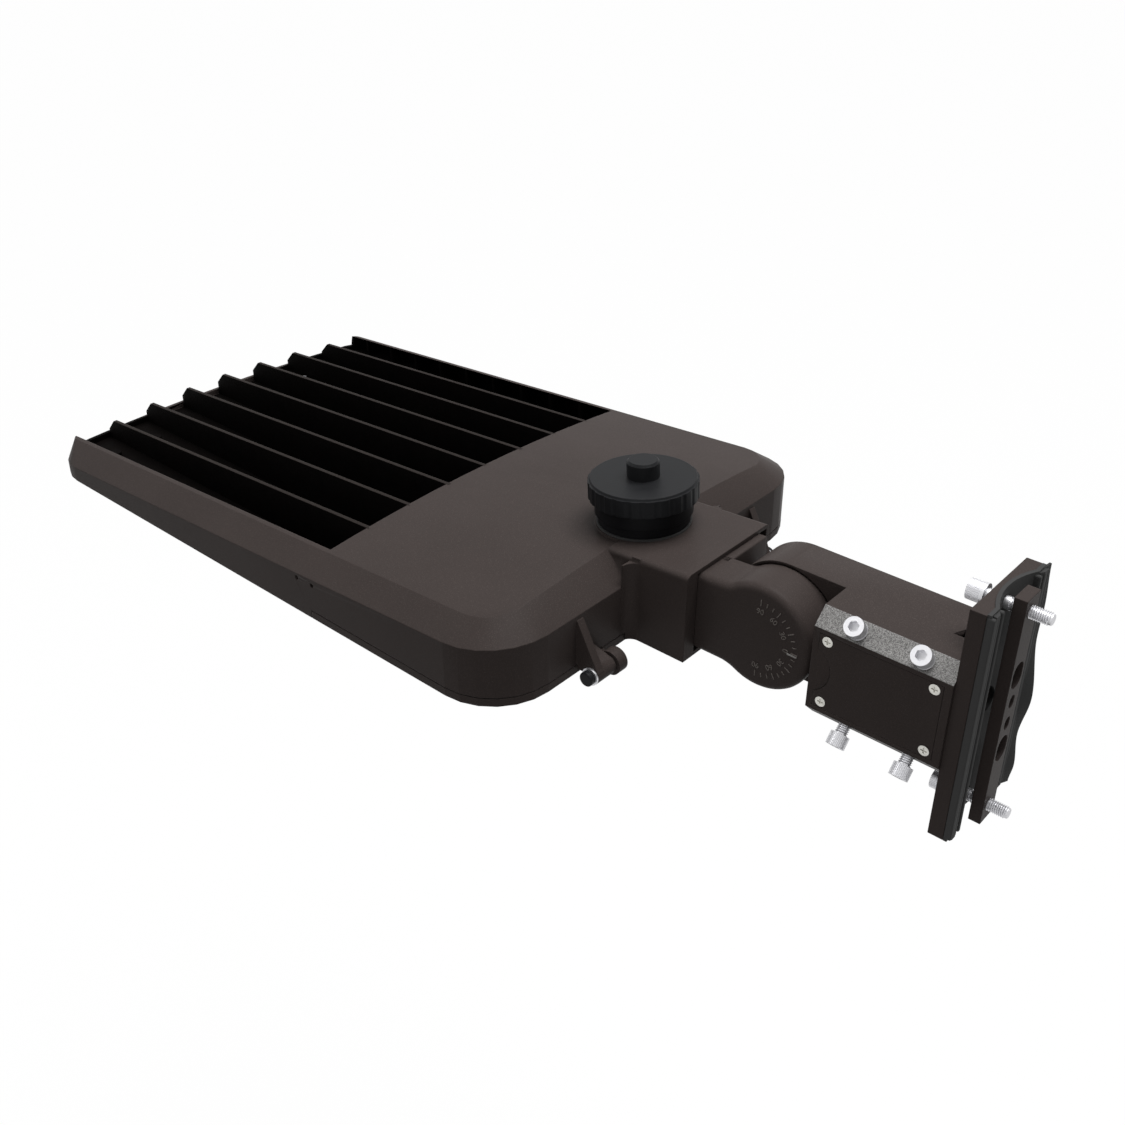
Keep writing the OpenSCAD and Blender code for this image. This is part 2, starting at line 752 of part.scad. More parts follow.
// Places of the lug screws on the front face of the neck bulkhead
module lug_screw_places() {
    for (y = lug_screw_y, z = lug_screw_z) translate([lug_end + gap + bulkhead_t, y, z]) children();
}

// Four screws from the driver room through the bulkhead into the lug
module lug_screws() {
    color("#c9c9cc") at_knuckle() lug_screw_places() rotate([0, 90, 0])
        socket_screw(m6_d, m6_head_d, m6_head_h, clamp_len);
}

// Outer skin of the head as one smooth block
module head_block() {
    hull() {
        translate([0, 0, bottom]) linear_extrude(slab) polygon(head_outline(0));
        tipped() translate([0, 0, crease_z]) linear_extrude(slab) polygon(head_outline(0));
        tipped() translate([0, 0, roof_side_z - slab]) linear_extrude(slab)
            polygon(head_outline(facet_in, nose_top_in, edge_nose_r));
        tipped() along_x(head_back + facet_in, head_front - 2 * fin_chamfer)
            polygon(crown_section(top_half - rear_corner_r / 2, 0));
    }
}

// Driver room: wide below the crease, drawn in above it, with the full roof height behind the neck
module driver_room() {
    low = bottom - over;
    neck_side = neck_half_w - neck_wall - 1;
    intersection() {
        tipped() along_x(neck_mouth, cavity_front) polygon(concat(
            [[head_half_w, 2 * low], [head_half_w, crease_z]],
            [for (i = [0:crown_steps]) let (y = top_half * (1 - 2 * i / crown_steps))
                [y, crown_z(y) - wall]],
            [[-head_half_w, crease_z], [-head_half_w, 2 * low]]));
        union() {
            translate([0, 0, low]) linear_extrude(room_step_z - low) polygon(head_outline(wall));
            translate([0, 0, low]) linear_extrude(head_half_w) polygon(head_outline(facet_in + 1));
            translate([lug_end + gap + bulkhead_t, -neck_side, low / 2])
                cube([2 * facet_in, 2 * neck_side, head_half_w]);
        }
    }
}

// Cross-section of the open heat sink between the side walls
module sink_section() {
    polygon([
        [-top_half + wall_top_t, roof_z * 3], [-top_half + wall_top_t, roof_side_z],
            [-head_half_w + wall + 1, crease_z],
        [-head_half_w + wall + 1, -head_half_w], [head_half_w - wall - 1, -head_half_w],
            [head_half_w - wall - 1, crease_z],
        [top_half - wall_top_t, roof_side_z], [top_half - wall_top_t, roof_z * 3]]);
}

// Height of the tipped plane at a distance along X
function tip_z(x, z) = (z - x * sin(fall)) / cos(fall);

// One fin: its top follows the roof, its front corner is cut at 45 degrees
module fin(y) {
    front = nose_x(y) - (head_front - fin_front);
    top_back = tip_z(roof_front, crown_z(y));
    top_front = tip_z(front, crown_z(y));
    along_y(y - fin_t / 2, y + fin_t / 2) polygon([
        [roof_front - over, floor_top - slab], [front, floor_top - slab], [front, top_front - fin_chamfer],
        [front - fin_chamfer, top_front + fin_chamfer * tan(fall)],
            [roof_front - over, top_back + over * tan(fall)]]);
}

// Head casting
module head_housing() {
    fin_span = (fin_count - 1) / 2;
    color("#3d3633") at_knuckle() {
        difference() {
            union() {
                difference() {
                    union() {
                        head_block();
                        neck_shell();
                    }
                    // Open heat sink
                    intersection() {
                        tipped() along_x(roof_front, head_front + facet_in) sink_section();
                        union() {
                            translate([roof_front, 0, floor_top]) linear_extrude(head_half_w)
                                polygon([for (p = head_outline(wall + 1))
                                [max(p[0] - roof_front, 0), p[1]]]);
                            translate([(roof_front + head_front) / 2, -top_half + wall_top_t, lip_top])
                                cube([head_front, 2 * (top_half - wall_top_t), head_half_w]);
                        }
                        translate([roof_front, -head_half_w, floor_top])
                            cube([head_front, 2 * head_half_w, head_half_w]);
                    }
                    driver_room();
                    // Room for the door, and its parting line
                    translate([head_back - door_gap, -head_half_w - over, bottom - over])
                        cube([roof_front - head_back + door_gap, 2 * head_half_w + 2 * over,
                            door_t + over + door_gap / 2]);
                    // Front ends of the side walls, cut like the fins
                    for (s = [-1, 1]) translate([fin_front - fin_chamfer, s * top_half,
                        tip_z(fin_front - fin_chamfer, roof_side_z)]) tipped()
                        translate([0, -facet_in * 2, 0]) rotate([0, 45, 0])
                            translate([-head_half_w / 2, 0, 0])
                            cube([head_half_w, facet_in * 4, head_half_w]);
                }
                for (i = [-fin_span:fin_span]) fin(i * fin_pitch);
                // Low round pad under the receptacle
                tipped() translate([cap_x, 0, roof_z - wall + over])
                    cylinder(h = neck_top_z - roof_z + wall - over, r = pad_r + 1, $fn = fn_big);
                sink_details();
                room_details();
                hinge_bosses();
                neck_floor();
            }
            // Recess for the optics
            translate([optic_x0, -optic_half, bottom - over])
                cube([optic_x1 - optic_x0, 2 * optic_half, floor_under - bottom + over]);
            lens_screw_places() translate([0, 0, -over])
                cylinder(h = boss_h + floor_t, d = m4_d + 2 * thread_room, $fn = fn_small);
            neck_cuts();
            hinge_cuts();
            room_cuts();
        }
    }
}

// Outside of the neck: rounded along its top edges, with hollow corners where it meets the head
module neck_shell() {
    side = neck_half_w - neck_round;
    crest = neck_top_z - neck_round;
    intersection() {
        translate([neck_mouth, -neck_half_w, neck_bottom])
            cube([head_back + facet_in + over - neck_mouth, 2 * neck_half_w, 3 * under_z]);
        tipped() along_x(0, 2 * head_back) polygon(concat(
            arc_pts(side, crest, neck_round, 0, 90, outline_steps),
                arc_pts(-side, crest, neck_round, 90, 180, outline_steps),
            [[-neck_half_w, -2 * under_z], [neck_half_w, -2 * under_z]]));
    }
    intersection() {
        for (s = [-1, 1]) difference() {
            translate([head_back - neck_fillet_r, s > 0 ? neck_half_w - over : -neck_half_w - neck_fillet_r,
                neck_bottom])
                cube([neck_fillet_r + over, neck_fillet_r + over, 2 * under_z]);
            translate([head_back - neck_fillet_r, s * (neck_half_w + neck_fillet_r), neck_bottom - over])
                cylinder(h = 2 * under_z + 2 * over, r = neck_fillet_r, $fn = fn_mid);
        }
        tipped() translate([0, -head_half_w, crest - head_half_w])
            cube([head_back * 2, 2 * head_half_w, head_half_w]);
    }
}

// Floor of the neck and the wall that the lug is bolted to
module neck_floor() {
    translate([neck_mouth + gap, -neck_half_w + gap, neck_bottom])
        cube([head_back - door_gap - gap - neck_mouth, 2 * neck_half_w - 2 * gap, neck_wall]);
    intersection() {
        translate([lug_end + gap, -neck_half_w + gap, neck_bottom])
            cube([bulkhead_t - door_gap, 2 * neck_half_w - 2 * gap, 2 * under_z]);
        
        tipped() translate([0, -head_half_w, neck_top_z - slab - head_half_w])
            cube([head_back * 2, 2 * head_half_w, head_half_w]);
    }
}

// Room inside the neck, screw holes and wire hole of the bulkhead, and the roof hole under the receptacle
module neck_cuts() {
    intersection() {
        translate([neck_mouth - over, -neck_half_w + neck_wall, neck_bottom + neck_wall])
            cube([lug_end + gap - neck_mouth + over, neck_half_w - neck_wall + dial_plane + 2 * gap,
                2 * under_z]);
        tipped() translate([0, -head_half_w, neck_top_z - neck_wall + gap / 2 - head_half_w])
            cube([head_back * 2, 2 * head_half_w, head_half_w]);
    }
    lug_screw_places() rod_x(-bulkhead_t - over, over, m6_d / 2 + hole_room, fn_small);
    translate([0, -neck_half_w / 2, 0]) rod_x(lug_end, head_back + wall + over, wire_bore_r);
    tipped() translate([cap_x, 0, roof_z - 3 * wall])
        cylinder(h = 6 * wall, r = receptacle_hole_r, $fn = fn_mid);
}

// Ribs along the side walls, strips and bosses on the heat sink floor
module sink_details() {
    sink = 1;
    rib_drop = 1;
    first_x = roof_front + 10;
    last_x = head_front - 70;
    channels = fin_count + 1;
    // Ribs inside the side walls, sunk a little into them
    for (i = [0:side_rib_count - 1], s = [-1, 1]) mirror([0, s > 0 ? 0 : 1, 0]) tipped() {
        x = roof_front + (head_front - front_corner_r - roof_front) * (i + 1) / side_rib_count;
        along_x(x, x + side_rib_t) polygon([
            [top_half - wall_top_t, roof_side_z - rib_drop],
                [top_half - wall_top_t + sink, roof_side_z - rib_drop],
            [head_half_w - wall - 1 + sink, crease_z],
                [head_half_w - wall - 1 + sink, floor_top + x * sin(fall)],
            [top_half - wall_top_t, floor_top + x * sin(fall)]]);
    }
    for (i = [0:channels - 1]) translate([0, (i - (channels - 1) / 2) * fin_pitch, 0]) {
        translate([first_x, -strip_w / 2, floor_top - slab])
            cube([last_x - first_x, strip_w, strip_h + slab]);
        for (x = [last_x + 24, (first_x + last_x) / 2]) translate([x, 0, floor_top - slab])
            cylinder(h = boss_h + slab, r = boss_r, $fn = fn_small);
    }
}

// Pillar from a level up into the roof
module roof_pillar(px, py, pz) {
    translate([px, py, pz]) cylinder(h = tip_z(px, crown_z(py)) - wall / 2 - pz, r = boss_r,
        $fn = fn_small);
}

// Bosses inside the driver room
module room_details() {
    for (s = [-1, 1]) translate([door_screw_x, s * door_screw_y, parting + door_gap]) {
        cylinder(h = door_boss_top - parting, r = door_boss_r, $fn = fn_mid);
        translate([0, -door_boss_r / 2, 0])
            cube([roof_front - partition_t / 2 - door_screw_x, door_boss_r, door_boss_top - parting]);
    }
    // Pillars that the driver, the surge protector and the terminal block hang from
    for (x = driver_bosses_x, s = [-1, 1]) roof_pillar(driver_pos[0] + x,
        driver_pos[1] + driver_size[1] / 2 + s * (driver_size[1] / 2 + boss_r),
            driver_pos[2] + driver_size[2]);
    roof_pillar(surge_pos[0], surge_pos[1], surge_pos[2] + surge_h);
    for (s = [0.25, 0.75]) roof_pillar(terminal_pos[0] + terminal_size[0] / 2,
        terminal_pos[1] + terminal_size[1] * s, terminal_pos[2] + terminal_size[2]);
    // Thick spot behind the two side holes
    translate([(shield_hole_x[0] + shield_hole_x[1]) / 2 - shield_boss[0] / 2,
        head_half_w - wall - shield_boss[1] + 1, shield_hole_z - shield_boss[2] / 2]) cube(shield_boss);
}

// Screw holes of the driver room
module room_cuts() {
    for (s = [-1, 1]) translate([door_screw_x, s * door_screw_y, parting - over])
        cylinder(h = door_boss_top - parting, d = door_screw_d + 2 * door_screw_room, $fn = fn_small);
    driver_screw_places() translate([0, 0, -over])
        cylinder(h = driver_screw_len - 2 + over, d = m4_d + 2 * thread_room, $fn = fn_small);
    for (x = shield_hole_x) translate([x, 0, shield_hole_z])
        rod_y(head_half_w - shield_hole_depth, head_half_w + over, shield_hole_d / 2, fn_small);
}

// Places of the driver screws, on the underside of the pillars
module driver_screw_places() {
    for (x = driver_bosses_x, s = [-1, 1])
        translate([driver_pos[0] + x,
            driver_pos[1] + driver_size[1] / 2 + s * (driver_size[1] / 2 + boss_r),
            driver_pos[2] + driver_size[2]]) children();
}

// Barrels and gussets of the two hinges on the rear face
module hinge_bosses() {
    apex_z = crease_z - head_back * tan(fall) - 3;
    for (s = [-1, 1]) mirror([0, s > 0 ? 0 : 1, 0]) {
        difference() {
            union() {
                translate([hinge_x, 0, hinge_z]) rod_y(hinge_boss_y0, hinge_boss_y1, hinge_barrel_r);
                along_y(hinge_boss_y1 - gusset_t, hinge_boss_y1) polygon([
                    [head_back + over, apex_z], [head_back, apex_z],
                        [hinge_x - hinge_barrel_r * 0.9, hinge_z + hinge_barrel_r * 0.5],
                    [hinge_x, hinge_z], [head_back + over, hinge_z]]);
                along_y(hinge_boss_y0, hinge_boss_y1) polygon([
                    [hinge_x - hinge_barrel_r * 0.4, hinge_z], [head_back + over, hinge_z],
                        [head_back + over, hinge_z + hinge_barrel_r * 1.5],
                    [hinge_x, hinge_z + hinge_barrel_r]]);
            }
            translate([head_back - door_gap, 0, bottom - over])
                cube([wall * 4, head_half_w, door_t + over + door_gap / 2]);
        }
    }
}

// Pin holes of the hinges
module hinge_cuts() {
    for (s = [-1, 1]) mirror([0, s > 0 ? 0 : 1, 0])
        translate([hinge_x, 0, hinge_z])
            rod_y(hinge_boss_y0 - over, hinge_boss_y1 + over, hinge_pin_d / 2 + thread_room);
}

// Door under the driver room, with two hinge lugs
module driver_door() {
    lug_arm = 5;
    rim_t = 2.5;
    color("#39322f") at_knuckle() {
        difference() {
            union() {
                translate([0, 0, bottom]) linear_extrude(door_t - door_gap / 2) intersection() {
                    polygon(head_outline(0));
                    translate([0, -head_half_w]) square([roof_front - door_gap, 2 * head_half_w]);
                }
                for (s = [-1, 1]) mirror([0, s > 0 ? 0 : 1, 0]) {
                    translate([hinge_x, 0, hinge_z]) rod_y(hinge_lug_y0, hinge_lug_y1, hinge_lug_r);
                    translate([hinge_x, hinge_lug_y0, bottom])
                        cube([head_back - hinge_x + over, hinge_lug_y1 - hinge_lug_y0, lug_arm]);
                }
            }
            // Hollow inside, leaving a rim
            translate([0, 0, bottom + rim_t]) linear_extrude(door_t) intersection() {
                polygon(head_outline(3 * wall));
                translate([0, -head_half_w]) square([door_screw_x - door_boss_r - over, 2 * head_half_w]);
            }
            for (s = [-1, 1]) {
                mirror([0, s > 0 ? 0 : 1, 0]) translate([hinge_x, 0, hinge_z])
                    rod_y(hinge_lug_y0 - over, hinge_lug_y1 + over, hinge_pin_d / 2 + pin_room);
                translate([door_screw_x, s * door_screw_y, bottom - over])
                    cylinder(h = door_t + 2 * over, d = door_screw_d + 2 * hole_room, $fn = fn_small);
                translate([door_screw_x, s * door_screw_y, bottom - over])
                    cylinder(h = over + 2, d = m6_head_d + 2 + 2 * hole_room, $fn = fn_mid);
            }
            // Room for the gasket
            door_seal_shape(door_t, parting - door_gap / 2 - seal_t);
        }
        for (s = [-1, 1]) translate([door_screw_x, s * door_screw_y, 0]) difference() {
            translate([0, 0, bottom + 2])
                cylinder(h = door_t - 2 - door_gap / 2, r = door_boss_r, $fn = fn_mid);
            translate([0, 0, bottom - over])
                cylinder(h = door_t + 2 * over, d = door_screw_d + 2 * hole_room, $fn = fn_small);
        }
    }
}

// Ring that follows the door rim
module door_seal_shape(h, z) {
    m0 = seal_in;
    m1 = seal_in + seal_w;
    translate([0, 0, z]) linear_extrude(h) difference() {
        intersection() {
            polygon(head_outline(m0));
            translate([0, -head_half_w]) square([roof_front - m0 - door_gap, 2 * head_half_w]);
        }
        intersection() {
            polygon(head_outline(m1));
            translate([0, -head_half_w]) square([roof_front - m1 - door_gap, 2 * head_half_w]);
        }
    }
}

// Gasket on the door rim
module door_gasket() {
    color("#202020") at_knuckle() door_seal_shape(seal_t, parting - door_gap / 2 - seal_t);
}

// Captive door screw with a slotted head
module door_screw(s) {
    head_t = 3;
    color("#c9c9cc") at_knuckle() translate([door_screw_x, s * door_screw_y, bottom + 2 - gap]) difference()
        {
        union() {
            translate([0, 0, -head_t]) cylinder(h = head_t, d = m6_head_d + 2, $fn = fn_mid);
            cylinder(h = clamp_len * 0.7, d = door_screw_d, $fn = fn_small);
        }
        translate([-m6_head_d, -0.8, -head_t - over]) cube([2 * m6_head_d, 1.6, over + head_t / 2]);
    }
}

// Hinge pins with round heads
module hinge_pins() {
    color("#17171a") at_knuckle() for (s = [-1, 1]) mirror([0, s > 0 ? 0 : 1, 0])
        translate([hinge_x, 0, hinge_z]) {
        rod_y(hinge_lug_y0 - 1, hinge_boss_y1 + hinge_washer_t + over, hinge_pin_d / 2);
        rod_y(hinge_boss_y1 + hinge_washer_t, hinge_boss_y1 + hinge_washer_t + hinge_neck_l + over,
            hinge_neck_d / 2);
        rod_y(hinge_boss_y1 + hinge_washer_t + hinge_neck_l,
            hinge_boss_y1 + hinge_washer_t + hinge_neck_l + hinge_head_t, hinge_head_d / 2);
    }
}

// Bright washers beside the hinge barrels
module hinge_washers() {
    color("#dcdcdc") at_knuckle() for (s = [-1, 1]) mirror([0, s > 0 ? 0 : 1, 0])
        translate([hinge_x, 0, hinge_z]) difference() {
        rod_y(hinge_boss_y1, hinge_boss_y1 + hinge_washer_t, hinge_head_d / 2 + 0.8);
        rod_y(hinge_boss_y1 - over, hinge_boss_y1 + hinge_washer_t + over, hinge_pin_d / 2 + gap / 2);
    }
}

// Driver: metal box with two mounting tabs
module led_driver() {
    tab_t = 2;
    color("#b9bcc0") at_knuckle() translate(driver_pos) difference() {
        union() {
            cube([driver_size[0], driver_size[1], driver_size[2] - gap]);
            for (x = driver_bosses_x) translate([x - boss_r, -2 * boss_r, driver_size[2] - gap - tab_t])
                cube([2 * boss_r, driver_size[1] + 4 * boss_r, tab_t]);
        }
        for (x = driver_bosses_x, y = [-boss_r, driver_size[1] + boss_r]) translate([x, y, 0])
            cylinder(h = driver_size[2] * 2, d = m4_d + 2 * hole_room, $fn = fn_small);
    }
}

// Screws of the driver
module driver_screws() {
    tab_t = 2;
    color("#c9c9cc") at_knuckle() driver_screw_places() translate([0, 0, -gap - tab_t]) mirror([0, 0, 1])
        socket_screw(m4_d, m4_head_d, m4_head_h, driver_screw_len);
}

// Round surge protector
module surge_protector() {
    color("#23407a") at_knuckle() translate(surge_pos) cylinder(h = surge_h, d = surge_d, $fn = fn_mid);
}

// Terminal block with five wire openings
module terminal_block() {
    ways = 5;
    step = terminal_size[1] / ways;
    color("#e6e3d8") at_knuckle() translate(terminal_pos) difference() {
        cube(terminal_size);
        for (i = [0:ways - 1]) translate([0, step * (i + 0.5), terminal_size[2] * 0.4])
            rod_x(-over, terminal_size[0] * 0.35, step * 0.28, fn_small);
        for (i = [0:ways - 1]) translate([terminal_size[0] * 0.6, step * (i + 0.5), terminal_size[2] * 0.6])
            cylinder(h = terminal_size[2], r = step * 0.25, $fn = fn_small);
    }
}

// Centre of one lens module
function module_x(i) = optic_x0 + lens_edge + module_lx / 2 + i * (module_lx + module_gap);
function module_y(j) = -optic_half + lens_edge + module_ly / 2 + j * (module_ly + module_gap);

// Places of every lens
module lens_places() {
    for (i = [0:module_rows - 1], j = [0:module_cols - 1], a = [0:lens_rows - 1], b = [0:lens_cols - 1])
        translate([module_x(i) + ((a + 0.5) / lens_rows - 0.5) * module_lx * 0.92,
            module_y(j) + ((b + 0.5) / lens_cols - 0.5) * module_ly * 0.92, 0]) children();
}

// Places of the lens screws, at the underside of the floor
module lens_screw_places() {
    for (i = [0:module_rows - 1], j = [0:module_cols - 1], a = [-1, 1])
        translate([module_x(i) + a * (module_lx / 2 - boss_r), module_y(j), floor_under]) children();
}

// Circuit board under the heat sink floor
module led_board() {
    color("#e8e8e4") at_knuckle() difference() {
        translate([optic_x0 + lens_edge, -optic_half + lens_edge, floor_under - board_t])
            cube([optic_x1 - optic_x0 - 2 * lens_edge, 2 * (optic_half - lens_edge), board_t]);
        lens_screw_places() translate([0, 0, -board_t - over])
            cylinder(h = board_t + 2 * over, d = m4_d + 2 * hole_room, $fn = fn_small);
    }
}

// Light-emitting chips
module leds() {
    color("#f2dc6b") at_knuckle() lens_places()
        translate([-led_size / 2, -led_size / 2, floor_under - board_t - led_t])
        cube([led_size, led_size, led_t]);
}

// Lens modules with one dome over each chip
module lens_modules() {
    color("#dfe9ee") at_knuckle() difference() {
        union() {
            for (i = [0:module_rows - 1], j = [0:module_cols - 1])
                translate([module_x(i) - module_lx / 2, module_y(j) - module_ly / 2,
                    lens_base_top - lens_base_t]) cube([module_lx, module_ly, lens_base_t]);
            lens_places() translate([0, 0, lens_base_top - lens_base_t - lens_dome_h])
                cylinder(h = lens_dome_h + slab, r1 = lens_dome_top_r, r2 = lens_dome_r, $fn = fn_small);
        }
        lens_screw_places() translate([0, 0, -under_z])
            cylinder(h = under_z, d = m4_d + 2 * hole_room, $fn = fn_small);
    }
}

// Gasket frame around the circuit board
module lens_gasket() {
    color("#202020") at_knuckle() difference() {
        translate([optic_x0 + lens_edge - lens_seal_w - gap, -optic_half + lens_edge - lens_seal_w - gap,
            lens_base_top]) cube([optic_x1 - optic_x0 - 2 * lens_edge + 2 * lens_seal_w + 2 * gap,
            2 * (optic_half - lens_edge + lens_seal_w + gap), floor_under - lens_base_top]);
        translate([optic_x0 + lens_edge - gap, -optic_half + lens_edge - gap, lens_base_top - over])
            cube([optic_x1 - optic_x0 - 2 * lens_edge + 2 * gap, 2 * (optic_half - lens_edge + gap),
            under_z]);
    }
}

// Screws of the lens modules
module lens_screws() {
    color("#c9c9cc") at_knuckle() lens_screw_places()
        translate([0, 0, lens_base_top - lens_base_t - floor_under]) mirror([0, 0, 1])
        socket_screw(m4_d, m4_head_d, m4_head_h, clamp_len / 2);
}

// Ring gasket under the receptacle
module receptacle_gasket() {
    color("#101010") at_knuckle() difference() {
        tipped() translate([cap_x, 0, neck_top_z + slab / 4])
            cylinder(h = gasket_ring_t, r = pad_r, $fn = fn_big);
        tipped() translate([cap_x, 0, neck_top_z - over])
            cylinder(h = gasket_ring_t + 2 * over, r = receptacle_hole_r, $fn = fn_mid);
    }
}

// Ring nut that holds the receptacle from below the roof
module receptacle_nut() {
    notches = 6;
    color("#2a2a2a") at_knuckle() tipped() translate([cap_x, 0, roof_z - wall - gap - nut_h]) difference() {
        cylinder(h = nut_h, r = nut_r, $fn = fn_mid);
        translate([0, 0, -over]) cylinder(h = nut_h + 2 * over, r = receptacle_hole_r - gap + thread_room,
            $fn = fn_mid);
        for (i = [0:notches - 1]) rotate([0, 0, i * 360 / notches]) translate([nut_r, 0, -over])
            cylinder(h = nut_h + 2 * over, r = nut_r * 0.1, $fn = fn_small);
    }
}

// Receptacle: stepped drum with three curved slots
module receptacle() {
    base = neck_top_z + gasket_ring_t + gap;
    turn = 35;
    color("#101010") at_knuckle() tipped() translate([cap_x, 0, 0]) difference() {
        union() {
            translate([0, 0, base]) cylinder(h = receptacle_foot_h, r = pad_r - 1, $fn = fn_big);
            translate([0, 0, base + receptacle_foot_h - slab])
                cylinder(h = receptacle_top_z - base - receptacle_foot_h + slab, d = receptacle_d,
                $fn = fn_big);
            translate([0, 0, base - wall * 3])
                cylinder(h = wall * 3 + over, r = receptacle_hole_r - gap, $fn = fn_mid);
        }
        translate([0, 0, base - wall * 3 - over])
            cylinder(h = wall * 3 + receptacle_foot_h - 2, r = receptacle_hole_r - receptacle_wall,
            $fn = fn_mid);
        // Slots as ring sectors that let the blades turn
        for (i = [0:blade_count - 1]) rotate([0, 0, i * 360 / blade_count])
            translate([0, 0, receptacle_top_z - blade_len]) intersection() {
            difference() {
                cylinder(h = blade_len + over, r = blade_ring_r + blade_t / 2 + slot_room, $fn = fn_mid);
                translate([0, 0, -over]) cylinder(h = blade_len + 3 * over,
                    r = blade_ring_r - blade_t / 2 - slot_room, $fn = fn_mid);
            }
            linear_extrude(blade_len + over)
                polygon(concat([[0, 0]], arc_pts(0, 0, blade_ring_r * 2, -turn - 24, 24, 8)));
        }
    }
}

// Spring contacts under the slots
module receptacle_contacts() {
    t = 1;
    color("#c8963c") at_knuckle() tipped() translate([cap_x, 0, 0]) for (i = [0:blade_count - 1])
        rotate([0, 0, i * 360 / blade_count])
        translate([blade_ring_r - t, -t * 1.5, neck_top_z + gasket_ring_t + t])
            cube([t * 2.5, t * 3, t * 2]);
}

// Rubber ring that the cap carries and that seals on the receptacle
module cap_gasket() {
    color("#1c1c1c") at_knuckle() tipped() translate([cap_x, 0, receptacle_top_z + gap / 2]) difference() {
        cylinder(h = cap_seal_t - gap / 2, d = receptacle_d - 3, $fn = fn_big);
        translate([0, 0, -over]) cylinder(h = cap_seal_t + 2 * over, r = blade_ring_r * 1.6, $fn = fn_mid);
    }
}

// Shorting cap: faceted rim, flat top, round knob
module shorting_cap() {
    rim_r = cap_d / 2;
    top_round = 1.5;
    color("#1b1c1e") at_knuckle() tipped() translate([cap_x, 0, 0]) {
        translate([0, 0, cap_rim_z0]) difference() {
            cylinder(h = cap_top_z - cap_rim_z0 - top_round, r = rim_r, $fn = fn_big);
            // Shallow scallops around the rim
            for (i = [0:cap_flats - 1]) rotate([0, 0, (i + 0.5) * 360 / cap_flats])
                translate([rim_r * 1.14, 0, -over])
                    cylinder(h = cap_top_z, r = rim_r * 0.155, $fn = fn_small);
        }
        translate([0, 0, cap_top_z - top_round - slab])
            cylinder(h = top_round + slab, r1 = rim_r * 0.97, r2 = rim_r * 0.95, $fn = fn_big);
        translate([0, 0, cap_top_z - slab])
            cylinder(h = knob_h - top_round + slab, d = knob_d, $fn = fn_mid);
        translate([0, 0, cap_top_z + knob_h - top_round - slab])
            cylinder(h = top_round + slab, d1 = knob_d, d2 = knob_d - 2 * top_round, $fn = fn_mid);
    }
}

// Three blades under the cap
module cap_blades() {
    color("#c8963c") at_knuckle() tipped() translate([cap_x, 0, 0]) for (i = [0:blade_count - 1])
        rotate([0, 0, i * 360 / blade_count])
        translate([blade_ring_r - blade_t / 2, -blade_w / 2, receptacle_top_z - blade_len + 3])
            cube([blade_t, blade_w, cap_rim_z0 - receptacle_top_z + blade_len - 3]);
}

pole_plate();
pole_gasket();
nut_bar();
pole_bolts();
pole_bolt_washers();
arm_casting();
arm_clamp_screws();
arm_cover();
arm_cover_gasket();
arm_cover_screws();
knuckle_bolt();
knuckle_washer();
knuckle_lug();
lug_screws();
head_housing();
driver_door();
door_gasket();
door_screw(1);  // door_screw_near
door_screw(-1);  // door_screw_far
hinge_pins();
hinge_washers();
led_driver();
driver_screws();
surge_protector();
terminal_block();
led_board();
leds();
lens_modules();
lens_gasket();
lens_screws();
receptacle_gasket();
receptacle();
receptacle_nut();
receptacle_contacts();
cap_gasket();
shorting_cap();
cap_blades();
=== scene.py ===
"""Looks of a pole-mounted LED area light: finishes, fine modelled detail, studio and camera."""
from __future__ import annotations

import json
import logging
import math
from dataclasses import dataclass, field
from enum import Enum
from typing import Iterable, Optional, Sequence, Union

import bmesh
import bpy
from mathutils import Matrix, Vector

